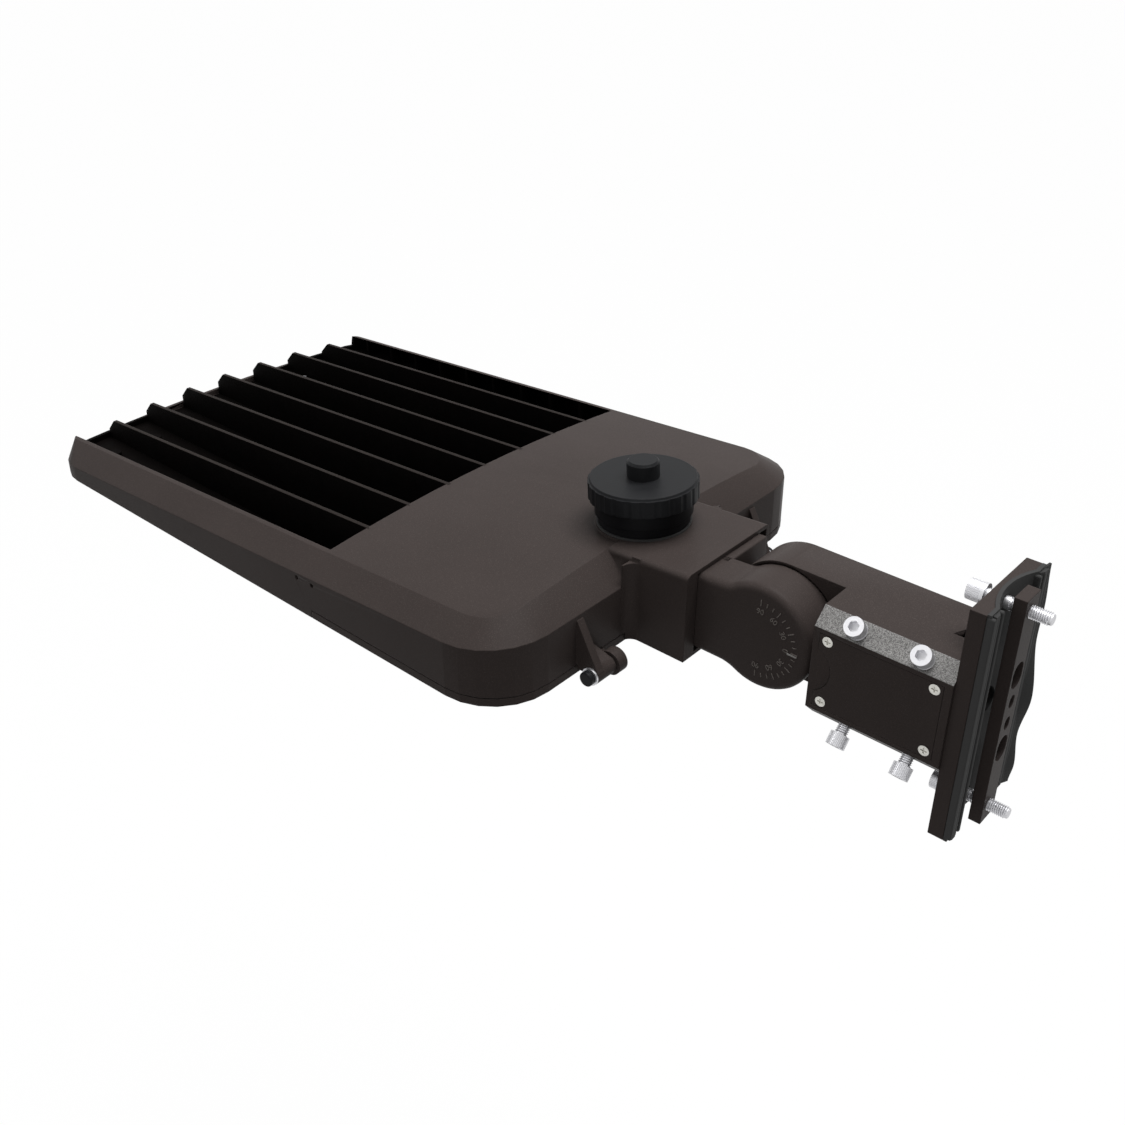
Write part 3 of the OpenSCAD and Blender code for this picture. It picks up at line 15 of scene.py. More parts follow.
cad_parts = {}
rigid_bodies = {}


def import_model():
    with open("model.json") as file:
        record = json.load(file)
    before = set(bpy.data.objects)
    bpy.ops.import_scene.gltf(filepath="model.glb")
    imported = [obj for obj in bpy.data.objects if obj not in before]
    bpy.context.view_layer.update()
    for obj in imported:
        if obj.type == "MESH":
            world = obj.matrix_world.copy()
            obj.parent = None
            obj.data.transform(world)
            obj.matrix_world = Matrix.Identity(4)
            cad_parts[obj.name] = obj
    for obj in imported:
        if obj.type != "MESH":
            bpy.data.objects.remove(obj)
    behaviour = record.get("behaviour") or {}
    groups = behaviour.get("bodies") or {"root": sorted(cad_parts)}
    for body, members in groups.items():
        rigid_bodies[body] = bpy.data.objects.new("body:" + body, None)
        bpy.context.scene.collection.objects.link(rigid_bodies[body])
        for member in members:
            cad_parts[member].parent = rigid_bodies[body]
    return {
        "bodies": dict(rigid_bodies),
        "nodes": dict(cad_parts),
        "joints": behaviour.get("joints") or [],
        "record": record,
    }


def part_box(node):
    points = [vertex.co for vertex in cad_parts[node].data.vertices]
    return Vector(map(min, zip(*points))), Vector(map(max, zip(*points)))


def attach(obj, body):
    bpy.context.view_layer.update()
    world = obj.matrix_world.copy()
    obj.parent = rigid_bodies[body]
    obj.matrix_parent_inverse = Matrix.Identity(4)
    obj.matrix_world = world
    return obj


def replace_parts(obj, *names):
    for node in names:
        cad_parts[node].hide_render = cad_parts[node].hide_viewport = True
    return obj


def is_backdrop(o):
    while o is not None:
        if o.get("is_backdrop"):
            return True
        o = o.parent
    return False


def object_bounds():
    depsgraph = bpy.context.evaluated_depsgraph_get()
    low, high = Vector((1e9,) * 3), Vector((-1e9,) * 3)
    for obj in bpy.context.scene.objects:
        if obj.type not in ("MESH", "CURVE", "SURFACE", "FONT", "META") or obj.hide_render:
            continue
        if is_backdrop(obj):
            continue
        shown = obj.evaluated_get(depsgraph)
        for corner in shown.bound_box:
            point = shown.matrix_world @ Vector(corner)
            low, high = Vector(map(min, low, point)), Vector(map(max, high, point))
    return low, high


LOG = logging.getLogger("scene")

# Places that part.scad defines, repeated here in metres
KNUCKLE_X = 0.1405
ROOF_FALL = math.radians(3.7)
ROOF_FRONT = 0.264
HEAD_FRONT = 0.604
TOP_HALF = 0.1505
ROOF_CROWN = 0.0072
ROOF_SIDE_Z = 0.0247
ROOF_Z = ROOF_SIDE_Z + ROOF_CROWN
FLOOR_TOP = -0.027
BOLT_GAP = 0.136
PLATE_H = 0.156
ARM_EDGE = 0.0659
ARM_BACK = 0.014
ARM_FRONT = 0.1015
DIAL_FACE = 0.0335

# Inputs and output of a Mix node that mixes colours
MIX_SHARE = 0
MIX_A = 6
MIX_B = 7
MIX_RESULT = 2
# The part of a noise's range that shows
NOISE = (0.3, 0.7)
# Rays through each point that round a sharp edge
EDGE_RAYS = 6
# A face whose normal has less than this along an axis runs along that axis
SIDE = 0.5
# A face whose normal has more than this along an axis lies across that axis
END = 0.9
# Edges of castings that are flatter than this are shaded smooth, in degrees
CAST_SMOOTH = 31.0


class Body(str, Enum):
    """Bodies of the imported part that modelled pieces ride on."""

    ARM = "arm"
    HEAD = "head"


class Ray(str, Enum):
    """Outputs of the Light Path node that the backdrop uses."""

    CAMERA = "Is Camera Ray"
    GLOSSY = "Is Glossy Ray"
    TRANSMISSION = "Is Transmission Ray"


Number = Union[int, float]
Pair = tuple[float, float]
Triple = tuple[float, float, float]


class Val:
    """A shader socket with arithmetic: every operator adds one Math node."""

    def __init__(self, graph: "Graph", socket: bpy.types.NodeSocket) -> None:
        """Args: graph: the graph that owns the socket. socket: an output socket."""
        self.graph = graph
        self.socket = socket

    def _op(self, kind: str, *others: Union["Val", Number]) -> "Val":
        """Args: kind: the Math operation. others: its further inputs. Returns: its result."""
        inputs = {0: self, **{i + 1: o for i, o in enumerate(others)}}
        return self.graph.node("ShaderNodeMath", {"operation": kind}, inputs)

    def __add__(self, o: Union["Val", Number]) -> "Val":
        """Returns: the sum."""
        return self._op("ADD", o)

    __radd__ = __add__

    def __mul__(self, o: Union["Val", Number]) -> "Val":
        """Returns: the product."""
        return self._op("MULTIPLY", o)

    __rmul__ = __mul__

    def __sub__(self, o: Union["Val", Number]) -> "Val":
        """Returns: the difference."""
        return self._op("SUBTRACT", o)

    def __rsub__(self, o: Number) -> "Val":
        """Returns: the number less this value."""
        return self.graph.node("ShaderNodeMath", {"operation": "SUBTRACT"}, {0: o, 1: self})

    def over(self, limit: Union["Val", Number]) -> "Val":
        """Returns: 1 where this value is above the limit, else 0."""
        return self._op("GREATER_THAN", limit)

    def under(self, limit: Union["Val", Number]) -> "Val":
        """Returns: 1 where this value is below the limit, else 0."""
        return self._op("LESS_THAN", limit)

    def most(self, o: Union["Val", Number]) -> "Val":
        """Returns: the larger of two values."""
        return self._op("MAXIMUM", o)

    def ramp(self, lo: Number, hi: Number, a: Number = 0.0, b: Number = 1.0) -> "Val":
        """Args: lo, hi: input range. a, b: output range. Returns: the value, mapped and held in the range."""
        inputs = {"Value": self, "From Min": lo, "From Max": hi, "To Min": a, "To Max": b}
        return self.graph.node("ShaderNodeMapRange", {"clamp": True}, inputs)


class Graph:
    """A material's node tree, reached through one method for any node."""

    def __init__(self, material: Union[bpy.types.Material, bpy.types.World]) -> None:
        """Args: material: the material or world to fill; its old nodes are cleared."""
        material.use_nodes = True
        self.tree = material.node_tree
        self.tree.nodes.clear()
        self._place: dict[str, Val] = {}

    def node(
        self,
        kind: str,
        settings: Optional[dict] = None,
        inputs: Optional[dict] = None,
        out: Union[int, str] = 0,
    ) -> Val:
        """Adds one node.

        Args: kind: node type. settings: attributes. inputs: socket values or Vals by name or index.
            out: the output wanted.
        Returns: that output as a Val.
        """
        made = self.tree.nodes.new(kind)
        for name, value in (settings or {}).items():
            setattr(made, name, value)
        for name, value in (inputs or {}).items():
            if isinstance(value, Val):
                self.tree.links.new(value.socket, made.inputs[name])
            else:
                made.inputs[name].default_value = value
        return Val(self, made.outputs[out])

    def xyz(self) -> tuple[Val, Val, Val]:
        """Returns: the object coordinates, in metres in the row's frame."""
        if not self._place:
            at = self.node("ShaderNodeTexCoord", out="Object")
            split = self.node("ShaderNodeSeparateXYZ", inputs={0: at})
            outs = split.socket.node.outputs
            self._place = {n: Val(self, outs[n]) for n in ("X", "Y", "Z")}
            self._place["P"] = at
        return self._place["X"], self._place["Y"], self._place["Z"]

    def point(self) -> Val:
        """Returns: the object coordinates as one vector."""
        self.xyz()
        return self._place["P"]

    def noise(self, scale: float, detail: float = 2.0, rough: float = 0.5) -> Val:
        """Args: scale: cells per metre. detail, rough: of the noise. Returns: its value, 0 to 1."""
        inputs = {"Vector": self.point(), "Scale": scale, "Detail": detail, "Roughness": rough}
        return self.node("ShaderNodeTexNoise", None, inputs)

    def mix(self, share: Union[Val, Number], a: object, b: object) -> Val:
        """Args: share: 0 gives a, 1 gives b. a, b: colours or Vals. Returns: the mixed colour."""
        inputs = {MIX_SHARE: share, MIX_A: a, MIX_B: b}
        return self.node("ShaderNodeMix", {"data_type": "RGBA"}, inputs, MIX_RESULT)

    def bump(self, height: Val, distance: float, edge: float) -> Val:
        """Args: height: 0 to 1. distance: its size in metres. edge: radius that sharp edges seem to have.

        Returns: the normal.
        """
        soft = self.node("ShaderNodeBevel", {"samples": EDGE_RAYS}, {"Radius": edge}, "Normal")
        inputs = {"Height": height, "Distance": distance, "Normal": soft}
        return self.node("ShaderNodeBump", None, inputs, "Normal")

    def surface(self, **inputs: object) -> None:
        """Args: inputs: Principled inputs, with underscores for blanks. Links the shader to the output."""
        named = {key.replace("_", " "): value for key, value in inputs.items()}
        self.node_output(self.node("ShaderNodeBsdfPrincipled", None, named, "BSDF"))

    def node_output(self, shader: Val) -> None:
        """Args: shader: the closure that the material shows."""
        made = self.tree.nodes.new("ShaderNodeOutputMaterial")
        self.tree.links.new(shader.socket, made.inputs["Surface"])


COAT: Triple = (0.0430, 0.0345, 0.0322)
# Pale speckled colours of the arm's upper near chamfer: a painted highlight with painted glints, where the
# chamfer catches the light
CHAMFER_HIGHLIGHT_DARK = (0.120, 0.117, 0.114, 1.0)
CHAMFER_HIGHLIGHT_PALE = (0.340, 0.334, 0.326, 1.0)


def rgba(colour: Triple, gain: float = 1.0) -> tuple[float, float, float, float]:
    """Args: colour: linear colour. gain: brightness. Returns: the colour with full alpha."""
    return (colour[0] * gain, colour[1] * gain, colour[2] * gain, 1.0)


@dataclass(frozen=True)
class Finish:
    """A surface finish that can be put on nodes and pieces."""

    name: str
    colour: Triple
    rough: float

    def shades(self, graph: Graph, share: Val, dark: float, pale: float) -> Val:
        """Args: share: 0 to 1. dark, pale: brightness at its ends. Returns: the colour, shaded by it."""
        return graph.mix(share, rgba(self.colour, dark), rgba(self.colour, pale))

    def uneven(self, noise: Val, spread: float) -> Val:
        """Args: noise: what varies it. spread: how far to each side. Returns: the finish's roughness."""
        return noise.ramp(*NOISE, self.rough - spread, self.rough + spread)

    def fill(self, graph: Graph) -> None:
        """Args: graph: the material's graph, filled with the plain finish."""
        cells = 420.0
        dark = 0.9
        pale = 1.08
        spread = 0.04
        grain = graph.noise(cells)
        graph.surface(
            Base_Color=self.shades(graph, grain.ramp(*NOISE), dark, pale),
            Roughness=self.uneven(grain, spread),
        )

    def material(self) -> bpy.types.Material:
        """Returns: the material, made once."""
        found = bpy.data.materials.get(self.name)
        if found is None:
            found = bpy.data.materials.new(self.name)
            self.fill(Graph(found))
        return found

    def put(self, objects: Iterable[bpy.types.Object]) -> None:
        """Args: objects: meshes that take this finish alone."""
        for o in objects:
            o.data.materials.clear()
            o.data.materials.append(self.material())


@dataclass(frozen=True)
class PowderCoat(Finish):
    """Satin powder coat with a fine orange-peel grain and a few bright grains; on the arm, a painted highlight
    on the upper near chamfer.
    """

    peel: float = 0.00005
    edge: float = 0.0009
    sheen: float = 0.04
    pale_chamfer: bool = False
    peel_cells: float = 1500.0
    cloud_cells: float = 14.0
    cloud_gain: Pair = (0.94, 1.06)
    fleck_cells: float = 2600.0
    fleck_at: Pair = (0.64, 0.74)
    fleck_share: float = 0.30
    fleck_gain: float = 3.2
    grit_cells: float = 1900.0
    grit_at: Pair = (0.38, 0.62)
    spread: float = 0.05

    def fill(self, graph: Graph) -> None:
        """Args: graph: the material's graph."""
        peel = graph.noise(self.peel_cells)
        cloud = graph.noise(self.cloud_cells)
        fleck = graph.noise(self.fleck_cells, detail=0.0).ramp(*self.fleck_at)
        base = self.shades(graph, cloud.ramp(*NOISE), *self.cloud_gain)
        base = graph.mix(fleck * self.fleck_share, base, rgba(self.colour, self.fleck_gain))
        # Painted highlight: the arm's upper near chamfer is painted pale and speckled where it catches the
        # light
        if self.pale_chamfer:
            highlight_speck = graph.noise(self.grit_cells, detail=1.0).ramp(*self.grit_at)
            base = graph.mix(self._chamfer(graph), base, graph.mix(highlight_speck, CHAMFER_HIGHLIGHT_DARK, CHAMFER_HIGHLIGHT_PALE))
        graph.surface(
            Base_Color=base,
            Roughness=self.uneven(peel, self.spread),
            Specular_IOR_Level=self.sheen,
            Normal=graph.bump(peel, self.peel, self.edge),
        )

    @staticmethod
    def _chamfer(graph: Graph) -> Val:
        """Returns: 1 on the upper near chamfer of the arm, which is painted pale as a painted highlight with
        painted glints, else 0.
        """
        x, y, z = graph.xyz()
        return (y + z).over(ARM_EDGE) * x.over(ARM_BACK) * x.under(ARM_FRONT)


@dataclass(frozen=True)
class Metal(Finish):
    """Bare turned or cast metal with fine tool marks."""

    edge: float = 0.0003
    stain_cells: float = 260.0
    stain_at: Pair = (0.35, 0.7)
    stain_gain: float = 0.8
    mark_cells: float = 3200.0
    mark_deep: float = 0.00001
    smoother: float = 0.06
    rougher: float = 0.08

    def fill(self, graph: Graph) -> None:
        """Args: graph: the material's graph."""
        stain = graph.noise(self.stain_cells, detail=3.0)
        marks = graph.noise(self.mark_cells, detail=1.0)
        graph.surface(
            Base_Color=self.shades(graph, stain.ramp(*self.stain_at), 1.0, self.stain_gain),
            Metallic=1.0,
            Roughness=stain.ramp(*NOISE, self.rough - self.smoother, self.rough + self.rougher),
            Normal=graph.bump(marks, self.mark_deep, self.edge),
        )


@dataclass(frozen=True)
class Moulded(Finish):
    """Moulded plastic or rubber with a spark-eroded grain."""

    grain: float = 0.00003
    grain_cells: float = 1100.0
    edge: float = 0.0007
    sheen: float = 0.07
    wear_cells: float = 45.0
    wear_at: Pair = (0.35, 0.75)
    wear_gain: float = 1.5
    spread: float = 0.05

    def fill(self, graph: Graph) -> None:
        """Args: graph: the material's graph."""
        grain = graph.noise(self.grain_cells)
        wear = graph.noise(self.wear_cells, detail=3.0)
        graph.surface(
            Base_Color=self.shades(graph, wear.ramp(*self.wear_at), 1.0, self.wear_gain),
            Roughness=self.uneven(wear, self.spread),
            Specular_IOR_Level=self.sheen,
            Normal=graph.bump(grain, self.grain, self.edge),
        )


@dataclass(frozen=True)
class Shade(Finish):
    """Near-black colour deep inside the heat sink: its dark coat, with painted shade where little light comes
    back.
    """

    shine: float = 0.03
    dust_cells: float = 120.0
    dust_gain: Pair = (0.8, 1.4)
    spread: float = 0.05

    def fill(self, graph: Graph) -> None:
        """Args: graph: the material's graph."""
        dust = graph.noise(self.dust_cells)
        graph.surface(
            Base_Color=self.shades(graph, dust.ramp(*NOISE), *self.dust_gain),
            Roughness=self.uneven(dust, self.spread),
            Specular_IOR_Level=self.shine,
        )


@dataclass(frozen=True)
class Clear(Finish):
    """Clear moulded lens."""

    haze_cells: float = 90.0
    haze: float = 0.05
    bends: float = 1.49
    through: float = 0.85

    def fill(self, graph: Graph) -> None:
        """Args: graph: the material's graph."""
        haze = graph.noise(self.haze_cells)
        graph.surface(
            Base_Color=rgba(self.colour),
            Roughness=haze.ramp(*NOISE, self.rough, self.rough + self.haze),
            IOR=self.bends,
            Transmission_Weight=self.through,
        )


class Kit:
    """All finishes of the light."""

    BRONZE = PowderCoat("bronze_coat", COAT, 0.44)
    # Bronze coat with a painted highlight on the arm's upper near chamfer
    BRONZE_ARM = PowderCoat("bronze_coat_arm_painted_highlight", COAT, 0.44, pale_chamfer=True)
    # Lighter colour of the dial's raised numbers and ticks: a painted highlight on their lit edges
    RELIEF = PowderCoat("bronze_relief_painted_highlight", (0.17, 0.15, 0.14), 0.40, edge=0.0002)
    # Near-black inside the heat sink: the fins' dark coat, darkened further as painted shade
    SINK = Shade("sink_coat_and_painted_shade", (0.0016, 0.0011, 0.0010), 0.7)
    FIN_TOP = PowderCoat("fin_top", (0.0150, 0.0115, 0.0102), 0.5)
    BRIGHT = Metal("bright_zinc", (0.60, 0.59, 0.55), 0.40)
    # Pale grey of the raised zero mark: a painted highlight where light catches it
    WORN = PowderCoat("zero_mark_painted_highlight", (0.30, 0.29, 0.28), 0.35, edge=0.0002)
    STAINLESS = Metal("stainless", (0.40, 0.40, 0.42), 0.26)
    DULL_STEEL = Metal("zinc_steel", (0.34, 0.34, 0.36), 0.34)
    BLACK_OXIDE = Moulded("black_oxide", (0.011, 0.011, 0.012), 0.38, 0.00001)
    RUBBER = Moulded("rubber", (0.0045, 0.0045, 0.0048), 0.75, 0.00004)
    CAP = Moulded("cap_plastic", (0.0102, 0.0105, 0.0114), 0.46, 0.00004)
    # Near-black of the receptacle: its dark plastic, darkened further as painted shade under the cap
    SOCKET = Moulded("socket_plastic_and_painted_shade", (0.0040, 0.0040, 0.0045), 0.5, 0.00003)
    BRASS = Metal("brass", (0.78, 0.58, 0.28), 0.28)
    BOARD = Finish("board_white", (0.80, 0.80, 0.78), 0.5)
    CHIP = Finish("chip_yellow", (0.85, 0.68, 0.16), 0.35)
    LENS = Clear("lens_clear", (0.93, 0.96, 0.97), 0.03)
    DRIVER = Finish("driver_grey", (0.62, 0.63, 0.65), 0.4)
    SURGE = Moulded("surge_blue", (0.03, 0.07, 0.25), 0.4)
    BLOCK = Moulded("block_cream", (0.72, 0.70, 0.60), 0.5)


def deselect() -> None:
    """Clears the selection."""
    bpy.ops.object.select_all(action="DESELECT")


def activate(o: bpy.types.Object) -> None:
    """Args: o: the object that the next operators act on alone."""
    deselect()
    o.select_set(True)
    bpy.context.view_layer.objects.active = o


def apply_all(o: bpy.types.Object) -> bpy.types.Object:
    """Args: o: a mesh object. Returns: it, with modifiers applied and its place in its vertices."""
    activate(o)
    for m in list(o.modifiers):
        bpy.ops.object.modifier_apply(modifier=m.name)
    bpy.ops.object.transform_apply(location=True, rotation=True, scale=True)
    return o


def smooth(o: bpy.types.Object, degrees: float = 35.0) -> None:
    """Args: o: a mesh object. degrees: edges flatter than this are shaded smooth."""
    activate(o)
    bpy.ops.object.shade_smooth_by_angle(angle=math.radians(degrees))


def box(at: Sequence[float], size: Sequence[float], turn: Triple = (0.0, 0.0, 0.0)) -> bpy.types.Object:
    """Args: at: its middle. size: its sides. turn: its rotation. Returns: a plain box, applied."""
    deselect()
    bpy.ops.mesh.primitive_cube_add(size=1.0, location=at, rotation=turn)
    made = bpy.context.active_object
    made.scale = size
    return apply_all(made)


def bevelled(o: bpy.types.Object, width: float, segments: int = 2) -> bpy.types.Object:
    """Args: o: a mesh object. width, segments: of the bevel on its sharp edges. Returns: it, bevelled."""
    sharp = 40.0
    modifier = o.modifiers.new("edge", "BEVEL")
    modifier.width = width
    modifier.segments = segments
    modifier.limit_method = "ANGLE"
    modifier.angle_limit = math.radians(sharp)
    return apply_all(o)


def joined(parts: Sequence[bpy.types.Object]) -> bpy.types.Object:
    """Args: parts: mesh objects. Returns: them, as one object with separate closed shells."""
    activate(parts[0])
    for o in parts[1:]:
        o.select_set(True)
    bpy.ops.object.join()
    return bpy.context.active_object


def stood(o: bpy.types.Object, at: Vector, axis: Vector) -> bpy.types.Object:
    """Args: o: a piece modelled upright at zero. at: its place. axis: where its top looks. Returns: it."""
    turn = axis.normalized().to_track_quat("Z", "Y").to_matrix().to_4x4()
    o.matrix_world = Matrix.Translation(at) @ turn
    return apply_all(o)


def twin(o: bpy.types.Object) -> bpy.types.Object:
    """Args: o: a mesh object. Returns: a copy with its own mesh."""
    copy = o.copy()
    copy.data = o.data.copy()
    bpy.context.scene.collection.objects.link(copy)
    return copy


@dataclass
class Assembly:
    """A group of CAD nodes with their finishes and the pieces modelled on them."""

    frame: dict
    body: Body
    pieces: list[bpy.types.Object] = field(default_factory=list)
    merge: float = 0.000002

    def node(self, name: str) -> bpy.types.Object:
        """Args: name: CAD node. Returns: its object."""
        return self.frame["nodes"][name]

    def dress(self, finish: Finish, *names: str) -> None:
        """Args: finish: what they wear. names: CAD nodes."""
        for n in names:
            finish.put([self.node(n)])
            smooth(self.node(n))

    def _merged(self, name: str) -> bpy.types.Object:
        """Args: name: the CAD node. Returns: a copy of it, whose loose triangles are merged."""
        o = bpy.data.objects.new(name, self.node(name).data.copy())
        bpy.context.scene.collection.objects.link(o)
        activate(o)
        bpy.ops.object.mode_set(mode="EDIT")
        bpy.ops.mesh.select_all(action="SELECT")
        bpy.ops.mesh.remove_doubles(threshold=self.merge)
        bpy.ops.object.mode_set(mode="OBJECT")
        return o

    @staticmethod
    def _keep_rim(o: bpy.types.Object, flat_z: float) -> None:
        """Args: o: the active mesh. flat_z: edges between faces above and below it turn sharp."""
        bpy.ops.object.mode_set(mode="EDIT")
        mesh = bmesh.from_edit_mesh(o.data)
        for edge in mesh.edges:
            tops = {face.normal.z > flat_z for face in edge.link_faces}
            edge.smooth = edge.smooth and len(tops) < 2
        bmesh.update_edit_mesh(o.data)
        bpy.ops.object.mode_set(mode="OBJECT")

    def cast(
        self, finish: Finish, name: str, degrees: float = CAST_SMOOTH, flat_z: float = 2.0
    ) -> bpy.types.Object:
        """Replaces a CAD node by a merged copy, whose curved walls can be shaded smooth.

        Args: finish: what it wears. name: the CAD node. degrees: edges flatter than this are shaded smooth.
            flat_z: upward part of a normal above which faces count as top, which keeps a crisp rim.
        Returns: the piece.
        """
        o = self._merged(name)
        smooth(o, degrees)
        self._keep_rim(o, flat_z)
        fair = o.modifiers.new("fair", "WEIGHTED_NORMAL")
        fair.keep_sharp = True
        self.keep(apply_all(o), name + "_cast", finish, "bronze")
        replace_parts(o, name)
        return o

    def keep(self, o: bpy.types.Object, name: str, finish: Finish, slot: str) -> bpy.types.Object:
        """Args: o: a finished piece. name: its name. finish: its looks. slot: not used. Returns: the piece."""
        o.name = name
        finish.put([o])
        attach(o, self.body.value)
        self.pieces.append(o)
        return o

    def build(self) -> None:
        """Makes the whole assembly."""
        raise NotImplementedError


@dataclass(frozen=True)
class CapScrew:
    """Socket head cap screw, knurled and threaded, modelled upright with its seat at zero."""

    shank: float
    head: float
    rise: float
    length: float
    thread: float
    pitch: float = 0.00125
    knurls: int = 36
    knurl_edge_share: float = 0.012
    knurl_deep_share: float = 0.022
    socket_share: float = 0.433
    socket_top_share: float = 0.95
    sunk_share: float = 0.3
    core_share: float = 0.5
    ridge_share: float = 0.55
    end_share: float = 0.3
    sides: int = 40
    turn_steps: int = 20

    def _head(self) -> bpy.types.Object:
        """Returns: the knurled head with its hexagon socket."""
        bpy.ops.mesh.primitive_cylinder_add(
            vertices=2 * self.knurls, radius=self.head / 2, depth=self.rise, location=(0, 0, self.rise / 2)
        )
        head = bpy.context.active_object
        bpy.ops.object.transform_apply(location=True, rotation=True, scale=True)
        bpy.ops.object.mode_set(mode="EDIT")
        mesh = bmesh.from_edit_mesh(head.data)
        sides = [f for f in mesh.faces if abs(f.normal.z) < SIDE]
        for f in mesh.faces:
            f.select_set(False)
        for f in sides:
            middle = f.calc_center_median()
            turn = math.atan2(middle.y, middle.x) / math.pi * self.knurls
            f.select_set(int(round(turn - 0.5)) % 2 == 0)
        bmesh.update_edit_mesh(head.data)
        bpy.ops.mesh.inset(thickness=self.head * self.knurl_edge_share, use_individual=True)
        bpy.ops.transform.shrink_fatten(value=-self.head * self.knurl_deep_share)
        bpy.ops.object.mode_set(mode="OBJECT")
        return self._socket(head)

    def _socket(self, head: bpy.types.Object) -> bpy.types.Object:
        """Args: head: the plain head. Returns: it, with its hexagon socket cut."""
        bpy.ops.mesh.primitive_cylinder_add(
            vertices=6,
            radius=self.shank * self.socket_share,
            depth=self.rise,
            location=(0, 0, self.rise * self.socket_top_share),
        )
        tool = bpy.context.active_object
        cut = head.modifiers.new("socket", "BOOLEAN")
        cut.object = tool
        cut.solver = "EXACT"
        activate(head)
        bpy.ops.object.modifier_apply(modifier=cut.name)
        bpy.data.objects.remove(tool)
        return head

    def _core(self) -> bpy.types.Object:
        """Returns: the shank, thinner where it is threaded, with a chamfered end."""
        plain = self.length - self.thread
        sunk = self.rise * self.sunk_share
        bpy.ops.mesh.primitive_cylinder_add(
            vertices=self.sides,
            radius=self.shank / 2,
            depth=plain + sunk,
            location=(0, 0, sunk / 2 - plain / 2),
        )
        upper = bpy.context.active_object
        deselect()
        bpy.ops.mesh.primitive_cylinder_add(
            vertices=self.sides,
            radius=self.shank / 2 - self.pitch * self.core_share,
            depth=self.thread + self.pitch,
            location=(0, 0, -plain - self.thread / 2 + self.pitch / 2),
        )
        lower = bevelled(bpy.context.active_object, self.pitch * self.end_share, 1)
        return joined([apply_all(upper), lower])

    def _coil(self) -> bpy.types.Object:
        """Returns: the ridge of the thread, one closed helix around the core."""
        deselect()
        bpy.ops.mesh.primitive_circle_add(
            vertices=3,
            radius=self.pitch * self.ridge_share,
            fill_type="NGON",
            location=(self.shank / 2 - self.pitch * self.core_share, 0, -self.length + self.pitch),
            rotation=(math.pi / 2, math.pi / 2, 0),
        )
        coil = apply_all(bpy.context.active_object)
        turn = coil.modifiers.new("helix", "SCREW")
        turn.screw_offset = self.pitch
        turn.iterations = max(1, int(self.thread / self.pitch) - 1)
        turn.steps = self.turn_steps
        turn.render_steps = self.turn_steps
        turn.use_merge_vertices = False
        apply_all(coil)
        bpy.ops.object.mode_set(mode="EDIT")
        bpy.ops.mesh.select_all(action="DESELECT")
        bpy.ops.mesh.select_non_manifold()
        bpy.ops.mesh.fill_holes(sides=3)
        bpy.ops.mesh.select_all(action="SELECT")
        bpy.ops.mesh.normals_make_consistent(inside=False)
        bpy.ops.object.mode_set(mode="OBJECT")
        return coil

    def build(self) -> bpy.types.Object:
        """Returns: the whole screw."""
        deselect()
        return joined([self._head(), self._core(), self._coil()])


